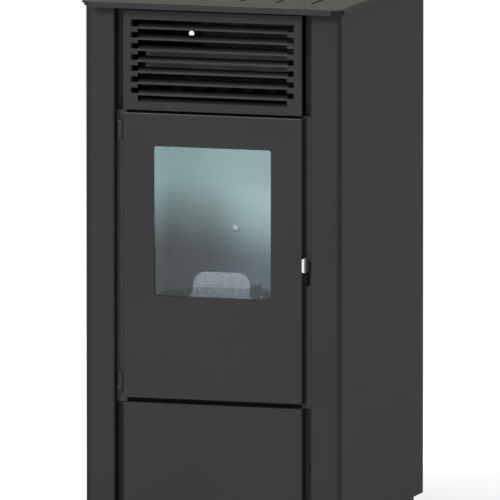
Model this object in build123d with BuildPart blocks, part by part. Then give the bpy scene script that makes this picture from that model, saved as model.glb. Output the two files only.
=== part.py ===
from build123d import *
import os

os.makedirs("parts", exist_ok=True)

cut = Mode.SUBTRACT
upward = (Align.CENTER, Align.CENTER, Align.MIN)
downward = (Align.CENTER, Align.CENTER, Align.MAX)

# Pellet stove, in millimetres. X runs to the right, Y to the rear and Z up, seen from the front.
# The origin lies on the floor, under the middle of the stove with its flue spigot.
# Distances called "behind" are measured from the front face of the two pillars.

# ---------------------------------------------------------------- casing
casing_width = 480.0
casing_depth = 510.0
stove_height = 980.0
sheet = 2.0
plate = 3.0
pillar_face = 56.0
pillar_radius = 11.5
fold_radius = 3.0
recess_depth = 25.0
side_gap = 16.0
rear_fold = 15.0
base_height = 44.0
base_rim = 20.0
panel_ground_gap = 12.0
notch_length = 60.0
notch_top = 40.0
touch_gap = 0.2
overshoot = 1.0
slip = 0.3

# ---------------------------------------------------------------- top plate
front_overhang = 18.0
side_overhang = 4.0
top_lip = 10.5
top_corner = 17.0
lip_start = 10.0
vent_count = 6
vent_side = 77.25
vent_width = 6.0
vent_front = 60.0
vent_length = 110.0

# ---------------------------------------------------------------- front faces, from the top down
top_gap = 3.5
grille_height = 181.0
high_gap = 5.0
door_height = 515.0
low_gap = 9.0
edge_radius = 1.8

# ---------------------------------------------------------------- warm-air grille
slot_side = 15.0
louvre_inset = 13.0
slot_height = 10.0
slot_pitch = 20.0
first_slot_drop = 30.5
last_slot_rise = 30.0
first_slot_extra = 3.0
louvre_lip = 3.6
louvre_depth = 8.0
louvre_rise = 7.0
louvre_sheet = 1.2
last_window = 11.5
deflector_inset = 6.0
deflector_stand = 11.0
deflector_height = 38.0
deflector_reach = 110.0

# ---------------------------------------------------------------- front frame and surround
frame_sheet = 2.5
surround_depth = 13.0
surround_half_gap = 0.4
surround_side = 5.0
surround_rim = 7.0
surround_step = 1.0
grille_hole_margin = 10.0
drawer_bay_side = 18.0
drawer_bay_play = 2.0
drawer_bay_lap = 12.0

# ---------------------------------------------------------------- door
cover_depth = 11.0
window_side = 58.3
window_rise = 185.5
window_drop = 59.0
window_corner = 4.5
glass_sheet = 4.0
glass_lap = 11.0
window_land = 3.0
gasket_sheet = 1.5
gasket_width = 8.0
door_frame_side = 20.0
door_frame_sheet = 10.0
door_frame_margin = 11.0
rim_depth = 10.0
rim_width = 14.0
seal_width = 9.0
seal_groove = 6.0

# ---------------------------------------------------------------- door hinges
hinge_inset = 5.5
hinge_behind = 6.0
hinge_from_end = 15.0
knuckle_radius = 5.4
knuckle_length = 30.0
hinge_pin_radius = 3.0
running_fit = 0.06
ear_sheet = 3.0
arm_half = 3.0
notch_slack = 2.0
ear_left = 7.0
ear_right = 4.5
ear_round = 5.0
hinge_leg_sheet = 1.2
hinge_leg_lap = 1.0
hinge_leg_right = 4.0

# ---------------------------------------------------------------- door latch
latch_drop = 280.0
latch_behind = 50.0
latch_shaft_radius = 4.0
latch_hub_radius = 7.0
lever_sheet = 4.0
lever_offset = 7.7
lever_slot_width = 6.6
lever_slot_low = 22.0
lever_slot_high = 20.0
lever_width = 12.0
grip_width = 8.2
grip_height = 27.0
grip_depth = 18.0
grip_rise = 16.5
grip_radius = 3.6
grip_proud = 10.0
hook_gap = 3.0
hook_reach = 31.0
hook_rest_angle = 15.0
hook_finger_radius = 3.6
hook_bar_width = 5.0
peg_behind = 37.5
peg_drop = 22.0
peg_radius = 3.0
peg_over = 0.5
keeper_sheet = 3.0
ear_height = 24.0
ear_near = 8.0
ear_far = 1.0
lever_tip_gap = 2.0

# ---------------------------------------------------------------- firebox
box_side = 22.0
box_behind = 168.0
box_floor_rise = 3.0
box_step_drop = 15.0
box_step_behind = 70.0
box_rise = 60.0
flange_over = 10.0
flange_rise = 6.0
flange_drop = 3.0
latch_notch_gap = 1.5
latch_notch_low = 60.0
latch_notch_high = 45.0
mouth_side = 16.0
mouth_low = 25.0
mouth_high = 35.0
ash_hole_side = 26.0
ash_hole_margin = 14.0
tube_count = 6
tube_side = 36.0
tube_radius = 15.0
tube_wall = 2.0
tube_drop = 28.0
tube_stub = 4.0
liner = 18.0
back_liner_sheet = 23.0
back_liner_drop = 66.0
baffle_drop = 40.0
side_liner_start = 8.0
baffle_sheet = 18.0
baffle_end = 125.0
support_rise = 179.0
bolt_head_radius = 7.0
bolt_head = 3.0
bolt_radius = 4.0
bolt_rise = 116.0
support_screw_x = 65.0
support_screw_radius = 3.5
ash_slot_near = 10.0
ash_slot_edge = 4.0

# ---------------------------------------------------------------- burn pot and igniter
pot_half = 53.5
pot_front = 55.0
pot_depth = 70.0
pot_wall = 3.0
pot_below = 46.0
pot_rim_rise = 19.0
pot_plate_rise = 46.0
pot_plate_radius = 23.0
pot_flange = 6.0
pot_slack = 2.0
air_hole_radius = 2.5
air_hole_pitch = 12.0
air_hole_columns = 7
air_hole_rows = 4
igniter_radius = 5.0
igniter_sleeve_radius = 9.0
igniter_drop = 26.0
igniter_tail = 60.0
igniter_sleeve_reach = 12.0
igniter_play = 1.0

# ---------------------------------------------------------------- smoke path and flue
collector_left = 20.0
collector_width = 68.0
collector_over = 32.0
collector_above = 50.0
collector_below = 45.0
collector_near = 250.0
collector_past = 50.0
smoke_hole_rise = 40.0
smoke_hole_tall = 83.0
exhaust_width = 60.0
exhaust_rear = 110.0
exhaust_height = 165.0
exhaust_radius = 80.0
exhaust_wall = 3.0
exhaust_inlet_radius = 35.0
impeller_radius = 64.0
impeller_blades = 8
shaft_radius = 5.0
motor_radius = 40.0
motor_length = 62.0
motor_gap = 2.0
spigot_radius = 40.0
spigot_wall = 2.0
spigot_reach = 45.0
spigot_rise = 40.0
spigot_collar = 2.0

# ---------------------------------------------------------------- combustion air
intake_x = -30.0
intake_drop = 59.0
intake_radius = 25.0
intake_wall = 1.5
intake_reach = 30.0

# ---------------------------------------------------------------- room-air blower and duct
blower_side = 50.0
blower_width = 86.0
blower_behind = 255.0
blower_drop = 85.0
blower_radius = 68.0
blower_wall = 2.0
blower_inlet_radius = 40.0
blower_outlet = 58.0
blower_neck = 84.0
blower_foot_sheet = 4.0
blower_foot_half = 20.0
blower_foot_lap = 3.0
shaft_play = 1.0
rotor_radius = 52.0
rotor_blades = 20
rotor_blade_depth = 10.0
duct_sheet = 1.5
plenum_drop = 55.0
plenum_over = 5.0

# ---------------------------------------------------------------- hopper and its lid
hopper_side = 11.0
hopper_duct_gap = 5.0
hopper_rear = 14.0
hopper_sheet = 1.5
funnel_drop = 167.0
funnel_height = 170.0
spout_half = 27.0
spout_rear = 185.0
spout_depth = 54.0
spout_saddle = 12.0
hopper_rim = 24.0
hopper_rim_front = 25.0
hopper_rim_back = 26.0
lid_gap = 2.0
lid_sheet = 2.0
hopper_ledge = 12.0
lid_gasket_sheet = 1.9
lid_gasket_width = 8.0
lid_hinge_behind = 8.0
lid_hinge_rise = 6.0
lid_hinge_side = 45.0
lid_knuckle_radius = 4.5
lid_knuckle_length = 24.0
lid_pin_radius = 2.5
lid_leaf_reach = 30.0
lid_handle_length = 96.0
lid_handle_width = 16.0
lid_handle_height = 14.0
lid_handle_inset = 20.0
lid_handle_gap = 8.4
lid_gasket_inset = 1.0

# ---------------------------------------------------------------- pellet auger
auger_top_behind = 165.0
auger_top_drop = 35.0
auger_rear = 115.0
auger_fall = 205.0
auger_tube_radius = 30.0
auger_tube_wall = 3.0
auger_flight_radius = 24.5
auger_core_radius = 9.0
auger_pitch = 44.0
auger_flight_sheet = 3.0
gearbox_size = 58.0
gearbox_length = 42.0
gearmotor_radius = 26.0
gearmotor_length = 44.0

# ---------------------------------------------------------------- control panel and electrics
console_side = 18.0
console_width = 104.0
console_front = 300.0
console_depth = 120.0
console_rise = 4.0
console_lap = 5.0
console_drop = 30.0
console_wall = 2.5
display_width = 66.0
display_depth = 30.0
display_sheet = 2.0
display_inset = 22.0
key_radius = 6.0
key_pitch = 26.0
key_row = 88.0
key_proud = 2.0
key_slack = 0.4
key_flange = 1.6
board_rear = 70.0
board_depth = 140.0
board_bottom = 450.0
board_height = 190.0
board_sheet = 1.6
board_standoff = 10.0
board_margin = 12.0
board_post_radius = 4.0
transformer_size = 40.0
transformer_tall = 48.0
transformer_thick = 26.0
transformer_rise = 30.0
relay_count = 3
relay_size = 16.0
relay_pitch = 24.0
relay_rise = 95.0
capacitor_count = 2
capacitor_radius = 9.0
capacitor_length = 24.0
capacitor_pitch = 34.0
capacitor_across = 85.0
capacitor_rise = 60.0
terminal_width = 14.0
terminal_thick = 12.0
inlet_x = -150.0
inlet_height = 120.0
inlet_width = 30.0
inlet_tall = 52.0
inlet_body = 26.0
inlet_flange = 4.0
rocker_width = 13.0
rocker_tall = 19.0
rocker_rise = 13.0
socket_width = 24.0
socket_tall = 16.0
socket_deep = 16.0
socket_drop = 11.0
pin_half_width = 1.0
pin_half_height = 2.0
pin_spread = 7.0
pin_rise = 3.0
pin_drop = 2.0
pin_short = 1.0
rocker_root = 3.0
rocker_inner = 2.0
rocker_skirt = 2.5
rocker_crest = 1.5
rocker_end_gap = 1.0
thermostat_x = -95.0
thermostat_radius = 13.0
thermostat_length = 24.0
thermostat_nose = 7.0
reset_radius = 3.0
reset_proud = 3.0
cable_hole_side = 40.5
cable_hole_drop = 117.5
cable_hole_radius = 5.0

# ---------------------------------------------------------------- feet and screws
foot_side = 40.0
foot_front = 62.0
foot_rear = 48.0
foot_radius = 20.0
foot_pad = 9.0
stud_radius = 5.0
stud_fit = 0.08
stud_top = 62.0
foot_nut_radius = 9.0
foot_nut = 6.0
boss_radius = 12.0
boss_height = 14.0
screw_radius = 2.0
screw_hole_radius = 2.2
screw_head_radius = 4.0
screw_head = 2.0
screw_length = 12.0
screw_rows = 4
screw_first = 130.0
screw_last_drop = 127.0

# ---------------------------------------------------------------- ash drawer
pan_side = 6.0
pan_front = 28.0
pan_end = 160.0
pan_height = 80.0
pan_top_gap = 16.0
pan_sheet = 1.5
runner_sheet = 2.0
runner_shelf = 12.0
drawer_link_half = 60.0
drawer_link_sheet = 12.0
drawer_link_inset = 12.0

# ---------------------------------------------------------------- worked-out places
half_width = casing_width / 2
front_y = front_overhang - (front_overhang + casing_depth + spigot_reach) / 2
pillar_inner = half_width - pillar_face
panel_half = pillar_inner - side_gap
plate_under = stove_height - plate
grille_top = stove_height - top_lip - top_gap
grille_bottom = grille_top - grille_height
door_top = grille_bottom - high_gap
door_bottom = door_top - door_height
lower_top = door_bottom - low_gap
lower_bottom = base_height
casing_inner = half_width - sheet
rear_panel_front = casing_depth - 2 * sheet
frame_back = recess_depth + frame_sheet
flange_back = frame_back + plate
top_half = half_width + side_overhang
vent_pitch = 2 * (top_half - vent_side) / (vent_count - 1)
foot_x = half_width - foot_side
foot_back = casing_depth - foot_rear
screw_pitch = (plate_under - screw_last_drop - screw_first) / (screw_rows - 1)

slot_half = panel_half - slot_side
louvre_half = slot_half - louvre_inset
slot_count = int((grille_height - first_slot_drop - last_slot_rise) // slot_pitch) + 1
surround_opening = panel_half - surround_side
frame_opening = surround_opening - surround_step
drawer_bay_half = panel_half - drawer_bay_side

window_half = panel_half - window_side
window_low = door_bottom + window_rise
window_high = door_top - window_drop
door_frame_half = panel_half - door_frame_side
hinge_x = -panel_half - hinge_inset
latch_height = door_top - latch_drop
lever_middle = panel_half + lever_offset
hook_inner = door_frame_half + keeper_sheet + hook_gap
peg_end = hook_inner + lever_sheet + peg_over

box_half = panel_half - box_side
box_inner = box_half - plate
box_bottom = door_bottom + box_floor_rise
box_step = door_top - box_step_drop
box_top = door_top + box_rise
support_top = door_bottom + support_rise
flange_half = panel_half + flange_over
mouth_half = box_half - mouth_side
ash_hole_half = box_half - ash_hole_side
pan_half = box_half - pan_side
pan_top = box_bottom - pan_top_gap
pan_bottom = pan_top - pan_height
drawer_bay_bottom = pan_bottom - drawer_bay_lap
tube_height = box_top - tube_drop
tube_pitch = 2 * (box_half - tube_side) / (tube_count - 1)
back_liner_top = door_top - back_liner_drop
side_liner_top = door_top - baffle_drop
deflector_half = louvre_half - deflector_inset
deflector_bottom = box_top + deflector_stand
deflector_top = deflector_bottom + deflector_height

exhaust_left = collector_left + collector_width
exhaust_behind = casing_depth - exhaust_rear
collector_far = exhaust_behind + collector_past
collector_step = exhaust_height + collector_above
collector_bottom = exhaust_height - collector_below
smoke_hole_low = door_bottom + smoke_hole_rise
smoke_hole_high = smoke_hole_low + smoke_hole_tall
collector_top = smoke_hole_high + collector_over
intake_height = support_top - intake_drop

blower_left = -half_width + blower_side
blower_right = blower_left + blower_width
blower_front = blower_behind - blower_radius
blower_height = intake_height - blower_drop
blower_outlet_top = blower_height + blower_neck
duct_back = blower_front + blower_outlet

hopper_left = blower_right + hopper_duct_gap
hopper_right = half_width - hopper_side
hopper_front = duct_back + hopper_duct_gap
hopper_back = casing_depth - hopper_rear
funnel_top = plate_under - funnel_drop
funnel_bottom = funnel_top - funnel_height
spout_front = casing_depth - spout_rear
lid_hole_left = hopper_left + hopper_rim
lid_hole_right = hopper_right - hopper_rim
lid_hole_front = hopper_front + hopper_rim_front
lid_hole_back = hopper_back - hopper_rim_back
lid_hinge_x = (lid_hole_right - lid_hole_left) / 2 - lid_hinge_side
auger_top_height = door_top - auger_top_drop
auger_low_height = auger_top_height - auger_fall
auger_low_behind = casing_depth - auger_rear

console_left = -half_width + console_side
board_behind = casing_depth - board_rear - board_depth
cable_hole_x = -half_width + cable_hole_side
cable_hole_height = stove_height - cable_hole_drop


def block(x, behind, z, mode=Mode.ADD):
    """A box between two values of X, of the distance behind the pillars' face, and of Z."""
    with Locations((x[0], front_y + behind[0], z[0])):
        Box(x[1] - x[0], behind[1] - behind[0], z[1] - z[0], align=(Align.MIN,) * 3, mode=mode)


def rod(axis, at, span, radius, mode=Mode.ADD):
    """A cylinder along X, Y or Z; `at` holds its two other places, Y as a distance behind."""
    if axis == "X":
        base = Plane(origin=(span[0], front_y + at[0], at[1]), z_dir=(1, 0, 0))
    elif axis == "Y":
        base = Plane(origin=(at[0], front_y + span[0], at[1]), z_dir=(0, 1, 0))
    else:
        base = Plane(origin=(at[0], front_y + at[1], span[0]), z_dir=(0, 0, 1))
    with Locations(base):
        Cylinder(radius, span[1] - span[0], align=upward, mode=mode)


def tray(half, behind, z, wall, corner):
    """A folded front face: a pan that is open to the rear, with rounded front edges."""
    block((-half, half), behind, z)
    front = edges().group_by(Axis.Y)[0]
    fillet(front, corner)
    block((-half + wall, half - wall), (behind[0] + wall, behind[1]), (z[0] + wall, z[1] - wall),
          cut)


def save(piece, name):
    """Label a finished piece and write it to its own file."""
    piece.part.label = name
    export_step(piece.part, f"parts/{name}.step")


# ================================================================ base and feet
base_under = base_height - sheet
foot_places = {
    "foot_front_left": (-foot_x, foot_front),
    "foot_front_right": (foot_x, foot_front),
    "foot_rear_left": (-foot_x, foot_back),
    "foot_rear_right": (foot_x, foot_back),
}

with BuildPart() as base_frame:
    block((-casing_inner, casing_inner), (recess_depth, rear_panel_front),
          (base_under, base_height + base_rim))
    block((-casing_inner + sheet, casing_inner - sheet), (recess_depth, rear_panel_front - sheet),
          (base_height, base_height + base_rim), cut)
    block((-casing_inner, casing_inner), (recess_depth, frame_back),
          (base_height, base_height + base_rim), cut)
    # the kick plate that hangs below the front edge
    block((-pillar_inner + surround_half_gap, pillar_inner - surround_half_gap),
          (recess_depth, recess_depth + sheet), (panel_ground_gap, base_under))
    for place in foot_places.values():
        rod("Z", place, (base_height, base_height + boss_height), boss_radius)
        rod("Z", place, (base_under, base_height + boss_height), stud_radius + stud_fit, cut)
save(base_frame, "base_frame")

for foot_name, place in foot_places.items():
    with BuildPart() as foot:
        rod("Z", place, (0.0, foot_pad), foot_radius)
        fillet(foot.edges().filter_by(GeomType.CIRCLE).group_by(Axis.Z)[-1], edge_radius)
        rod("Z", place, (foot_pad, stud_top), stud_radius)
        rod("Z", place, (base_under - touch_gap - foot_nut, base_under - touch_gap), foot_nut_radius)
    save(foot, foot_name)

# ================================================================ casing panels
with BuildPart() as right_side_panel:
    with BuildSketch(Plane.XY.offset(panel_ground_gap)):
        with BuildLine():
            outline = FilletPolyline(
                (half_width - rear_fold, front_y + casing_depth),
                (half_width, front_y + casing_depth),
                (half_width, front_y),
                (pillar_inner, front_y),
                (pillar_inner, front_y + recess_depth),
                radius=[fold_radius, pillar_radius, fold_radius],
            )
            offset(outline, amount=sheet, side=Side.RIGHT)
        make_face()
    extrude(amount=plate_under - panel_ground_gap)
    # the lower rear corner is cut away over the foot
    block((half_width - pillar_face, half_width + sheet),
          (casing_depth - notch_length, casing_depth + sheet), (0.0, notch_top), cut)
    for row in range(screw_rows):
        rod("Y", (half_width - rear_fold / 2, screw_first + row * screw_pitch),
            (casing_depth - 2 * sheet, casing_depth + sheet), screw_hole_radius, cut)
save(right_side_panel, "right_side_panel")

with BuildPart() as left_side_panel:
    mirror(right_side_panel.part, about=Plane.YZ)
save(left_side_panel, "left_side_panel")

spigot_x = exhaust_left + exhaust_width / 2
spigot_height = exhaust_height + spigot_rise
thermostat_height = inlet_height

with BuildPart() as rear_panel:
    block((-casing_inner + fold_radius, casing_inner - fold_radius),
          (rear_panel_front, rear_panel_front + sheet), (base_height, plate_under))
    through = (rear_panel_front - sheet, rear_panel_front + 2 * sheet)
    rod("Y", (spigot_x, spigot_height), through, spigot_radius + spigot_collar + slip, cut)
    rod("Y", (intake_x, intake_height), through, intake_radius + spigot_collar + slip, cut)
    rod("Y", (cable_hole_x, cable_hole_height), through, cable_hole_radius, cut)
    rod("Y", (thermostat_x, thermostat_height), through, thermostat_nose + slip, cut)
    block((inlet_x - inlet_width / 2 - slip, inlet_x + inlet_width / 2 + slip), through,
          (inlet_height - inlet_tall / 2 - slip, inlet_height + inlet_tall / 2 + slip), cut)
    for side in (-1, 1):
        for row in range(screw_rows):
            rod("Y", (side * (half_width - rear_fold / 2), screw_first + row * screw_pitch), through,
                screw_hole_radius, cut)
    # air slots behind the room-air blower
    slot_plane = Plane(origin=(blower_left + blower_width / 2, front_y + rear_panel_front, blower_height),
                       x_dir=(1, 0, 0), z_dir=(0, -1, 0))
    with BuildSketch(slot_plane):
        with GridLocations(0, 2 * vent_width, 1, 7):
            SlotOverall(blower_width, vent_width)
    extrude(amount=-2 * sheet, mode=cut)
save(rear_panel, "rear_panel")

with BuildPart() as rear_screws:
    for side in (-1, 1):
        for row in range(screw_rows):
            spot = (side * (half_width - rear_fold / 2), screw_first + row * screw_pitch)
            rod("Y", spot, (casing_depth - screw_length, casing_depth), screw_radius)
            rod("Y", spot, (casing_depth, casing_depth + screw_head), screw_head_radius)
save(rear_screws, "rear_screws")

# ================================================================ front frame and door surround
lever_slot = (lever_middle - lever_slot_width / 2, lever_middle + lever_slot_width / 2)
lever_slot_z = (latch_height - lever_slot_low, latch_height + lever_slot_high)
pivot_ears = ((lever_slot[0] - ear_near - keeper_sheet, lever_slot[0] - ear_near),
              (lever_slot[1] + ear_far, lever_slot[1] + ear_far + keeper_sheet))

with BuildPart() as front_frame:
    block((-casing_inner, casing_inner), (recess_depth, frame_back), (base_height, plate_under))
    through = (recess_depth - sheet, frame_back + sheet)
    block((-slot_half - grille_hole_margin / 2, slot_half + grille_hole_margin / 2), through,
          (grille_bottom + grille_hole_margin, grille_top - grille_hole_margin), cut)
    block((-frame_opening, frame_opening), through,
          (door_bottom + surround_rim, door_top - surround_rim), cut)
    block((-drawer_bay_half, drawer_bay_half), through,
          (drawer_bay_bottom, pan_top + drawer_bay_play), cut)
    block(lever_slot, through, lever_slot_z, cut)
    # two ears behind the frame carry the latch shaft
    for ear in pivot_ears:
        block(ear, (frame_back, latch_behind + latch_hub_radius + sheet),
              (latch_height - ear_height / 2, latch_height + ear_height / 2))
        rod("X", (latch_behind, latch_height), (ear[0] - sheet, ear[1] + sheet),
            latch_shaft_radius + running_fit, cut)
save(front_frame, "front_frame")

surround_half = pillar_inner - surround_half_gap
with BuildPart() as door_surround:
    block((-surround_half, surround_half), (surround_depth, recess_depth),
          (lower_top, door_top + high_gap * 2 / 3))
    block((-surround_half + sheet, surround_half - sheet), (surround_depth + sheet, recess_depth),
          (lower_top + sheet, door_top + high_gap * 2 / 3 - sheet), cut)
    through = (surround_depth - sheet, surround_depth + 2 * sheet)
    block((-surround_opening, surround_opening), through,
          (door_bottom + surround_rim - surround_step, door_top - surround_rim + surround_step), cut)
    block(lever_slot, through, lever_slot_z, cut)
save(door_surround, "door_surround")

# ================================================================ warm-air grille
with BuildPart() as front_grille:
    tray(panel_half, (0.0, recess_depth), (grille_bottom, grille_top), sheet, edge_radius)
    first_bottom = grille_top - first_slot_drop
    folds = []
    for row in range(slot_count):
        low = first_bottom - row * slot_pitch
        tall = slot_height + (first_slot_extra if row == 0 else 0.0)
        block((-slot_half, slot_half), (-sheet, 2 * sheet), (low, low + tall), cut)
        window = last_window if row == slot_count - 1 else slot_pitch - slot_height - louvre_lip
        block((-louvre_half, louvre_half), (-sheet, 2 * sheet),
              (low - louvre_lip - window, low - louvre_lip), cut)
        folds.append(low)
    folds.append(low - louvre_lip - window)
    # the lower edge of each opening is folded to the rear and upwards as a louvre blade
    for low in folds:
        with BuildSketch(Plane.YZ.offset(-louvre_half)):
            with BuildLine():
                Polyline(
                    (front_y + sheet, low - louvre_lip / 2),
                    (front_y + sheet, low),
                    (front_y + sheet + louvre_depth, low + louvre_rise),
                    (front_y + sheet + louvre_depth, low + louvre_rise - louvre_sheet),
                    (front_y + sheet + louvre_sheet, low - louvre_lip / 2),
                    close=True,
                )
            make_face()
        extrude(amount=2 * louvre_half)
save(front_grille, "front_grille")

with BuildPart() as air_deflector:
    block((-deflector_half, deflector_half), (frame_back + touch_gap, frame_back + touch_gap + sheet),
          (deflector_bottom, deflector_top))
    for side in (-1, 1):
        inner = side * (deflector_half - sheet)
        outer = side * deflector_half
        cheek = (min(inner, outer), max(inner, outer))
        block(cheek, (frame_back + touch_gap, deflector_reach), (deflector_bottom, deflector_top))
        block(cheek, (box_step_behind, deflector_reach), (box_top, deflector_bottom))
save(air_deflector, "air_deflector")

# ================================================================ top plate
with BuildPart() as top_plate:
    with BuildSketch(Plane.XY.offset(plate_under)) as top_outline:
        with Locations((0, front_y + (casing_depth - front_overhang) / 2)):
            Rectangle(2 * top_half, casing_depth + front_overhang)
        fillet(top_outline.vertices().group_by(Axis.Y)[0], top_corner)
    extrude(amount=plate)
    fillet(top_plate.edges().group_by(Axis.Z)[-1], plate / 3)
    lip_z = (stove_height - top_lip, plate_under)
    block((-top_half + top_corner, top_half - top_corner), (-front_overhang, -front_overhang + sheet),
          lip_z)
    for side in (-1, 1):
        lip = sorted((side * top_half, side * (top_half - sheet)))
        block(lip, (lip_start, casing_depth), lip_z)
    # six warm-air slots
    vent_plane = Plane(origin=(0, front_y + vent_front + vent_length / 2, plate_under))
    with BuildSketch(vent_plane):
        with GridLocations(vent_pitch, 0, vent_count, 1):
            SlotOverall(vent_length, vent_width, rotation=90)
    extrude(amount=plate, mode=cut)
    block((lid_hole_left, lid_hole_right), (lid_hole_front, lid_hole_back), (plate_under, stove_height),
          cut)
    block((console_left + console_lap, console_left + console_width - console_lap),
          (console_front + console_lap, console_front + console_depth - console_lap),
          (plate_under, stove_height), cut)
save(top_plate, "top_plate")

# ================================================================ hopper
auger_top = Vector(0, front_y + auger_top_behind, auger_top_height)
auger_low = Vector(0, front_y + auger_low_behind, auger_low_height)
auger_line = auger_top - auger_low
auger_length = auger_line.length
auger_plane = Plane(origin=auger_low, x_dir=(1, 0, 0), z_dir=auger_line)
spout_middle = (0, front_y + spout_front + spout_depth / 2)
# height of the auger's axis under the spout
feed_low = auger_low_height + (auger_low_behind - spout_front - spout_depth / 2) * (
    auger_line.Z / -auger_line.Y)
hopper_middle = ((hopper_left + hopper_right) / 2, front_y + (hopper_front + hopper_back) / 2)
hopper_width = hopper_right - hopper_left
hopper_depth = hopper_back - hopper_front

with BuildPart() as hopper:
    for shrink, mode in ((0.0, Mode.ADD), (hopper_sheet, cut)):
        with BuildSketch(Plane.XY.offset(plate_under)):
            with Locations(hopper_middle):
                Rectangle(hopper_width - 2 * shrink, hopper_depth - 2 * shrink)
        extrude(amount=funnel_top - plate_under, mode=mode)
        with BuildSketch(Plane.XY.offset(funnel_top)):
            with Locations(hopper_middle):
                Rectangle(hopper_width - 2 * shrink, hopper_depth - 2 * shrink)
        with BuildSketch(Plane.XY.offset(funnel_bottom)):
            with Locations(spout_middle):
                Rectangle(2 * (spout_half - shrink), spout_depth - 2 * shrink)
        loft(mode=mode)
        with BuildSketch(Plane.XY.offset(funnel_bottom)):
            with Locations(spout_middle):
                Rectangle(2 * (spout_half - shrink), spout_depth - 2 * shrink)
        extrude(amount=-(funnel_bottom - feed_low - spout_saddle), mode=mode)
    # the ledge under the top plate, which the lid's gasket meets
    block((hopper_left, hopper_right), (hopper_front, hopper_back), (plate_under - sheet, plate_under))
    block((lid_hole_left + hopper_ledge, lid_hole_right - hopper_ledge),
          (lid_hole_front + hopper_ledge, lid_hole_back - hopper_ledge),
          (plate_under - sheet, plate_under), cut)
    # the spout is scribed to the auger tube
    with Locations(auger_plane):
        Cylinder(auger_tube_radius + touch_gap, auger_length, align=upward, mode=cut)
save(hopper, "hopper")

lid_bottom = plate_under + slip + lid_gasket_sheet
lid_top = lid_bottom + lid_sheet
lid_x = (lid_hole_left + lid_gap, lid_hole_right - lid_gap)
lid_y = (lid_hole_front + lid_gap, lid_hole_back - lid_gap)
lid_axis = (lid_hole_back + lid_hinge_behind, stove_height + lid_hinge_rise)
lid_middle = (lid_hole_left + lid_hole_right) / 2

with BuildPart() as hopper_lid:
    block(lid_x, lid_y, (lid_bottom, lid_top))
    for side in (-1, 1):
        middle = lid_middle + side * lid_hinge_x
        leaf = (middle - lid_knuckle_length / 2, middle + lid_knuckle_length / 2)
        rod("X", lid_axis, leaf, lid_knuckle_radius)
        block(leaf, (lid_y[1] - lid_leaf_reach, lid_axis[0]), (lid_top, lid_top + sheet))
        rod("X", lid_axis, (leaf[0] - sheet, leaf[1] + sheet), lid_pin_radius + running_fit, cut)
save(hopper_lid, "hopper_lid")

with BuildPart() as hopper_lid_gasket:
    rim = lid_gasket_inset
    block((lid_x[0] + rim, lid_x[1] - rim), (lid_y[0] + rim, lid_y[1] - rim),
          (lid_bottom - lid_gasket_sheet, lid_bottom))
    inset = rim + lid_gasket_width
    block((lid_x[0] + inset, lid_x[1] - inset), (lid_y[0] + inset, lid_y[1] - inset),
          (lid_bottom - lid_gasket_sheet, lid_bottom), cut)
save(hopper_lid_gasket, "hopper_lid_gasket")

with BuildPart() as hopper_lid_handle:
    near = lid_y[0] + lid_handle_inset
    block((lid_middle - lid_handle_length / 2, lid_middle + lid_handle_length / 2),
          (near, near + lid_handle_width), (lid_top, lid_top + lid_handle_height))
    fillet(hopper_lid_handle.edges().group_by(Axis.Z)[-1], lid_handle_width / 4)
    block(
        (lid_middle - lid_handle_length / 2 + lid_handle_width,
         lid_middle + lid_handle_length / 2 - lid_handle_width),
        (near - overshoot, near + lid_handle_width + overshoot), (lid_top, lid_top + lid_handle_gap),
        cut,
    )
save(hopper_lid_handle, "hopper_lid_handle")

with BuildPart() as lid_hinge_brackets:
    for side in (-1, 1):
        middle = lid_middle + side * lid_hinge_x
        half = lid_knuckle_length / 2 + slip
        for cheek in ((middle - half - plate, middle - half), (middle + half, middle + half + plate)):
            rod("X", lid_axis, cheek, lid_knuckle_radius)
            block(cheek, (lid_axis[0] - lid_knuckle_radius, lid_axis[0] + lid_knuckle_radius),
                  (stove_height, lid_axis[1]))
        rod("X", lid_axis, (middle - half, middle + half), lid_pin_radius)
save(lid_hinge_brackets, "lid_hinge_brackets")

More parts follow.
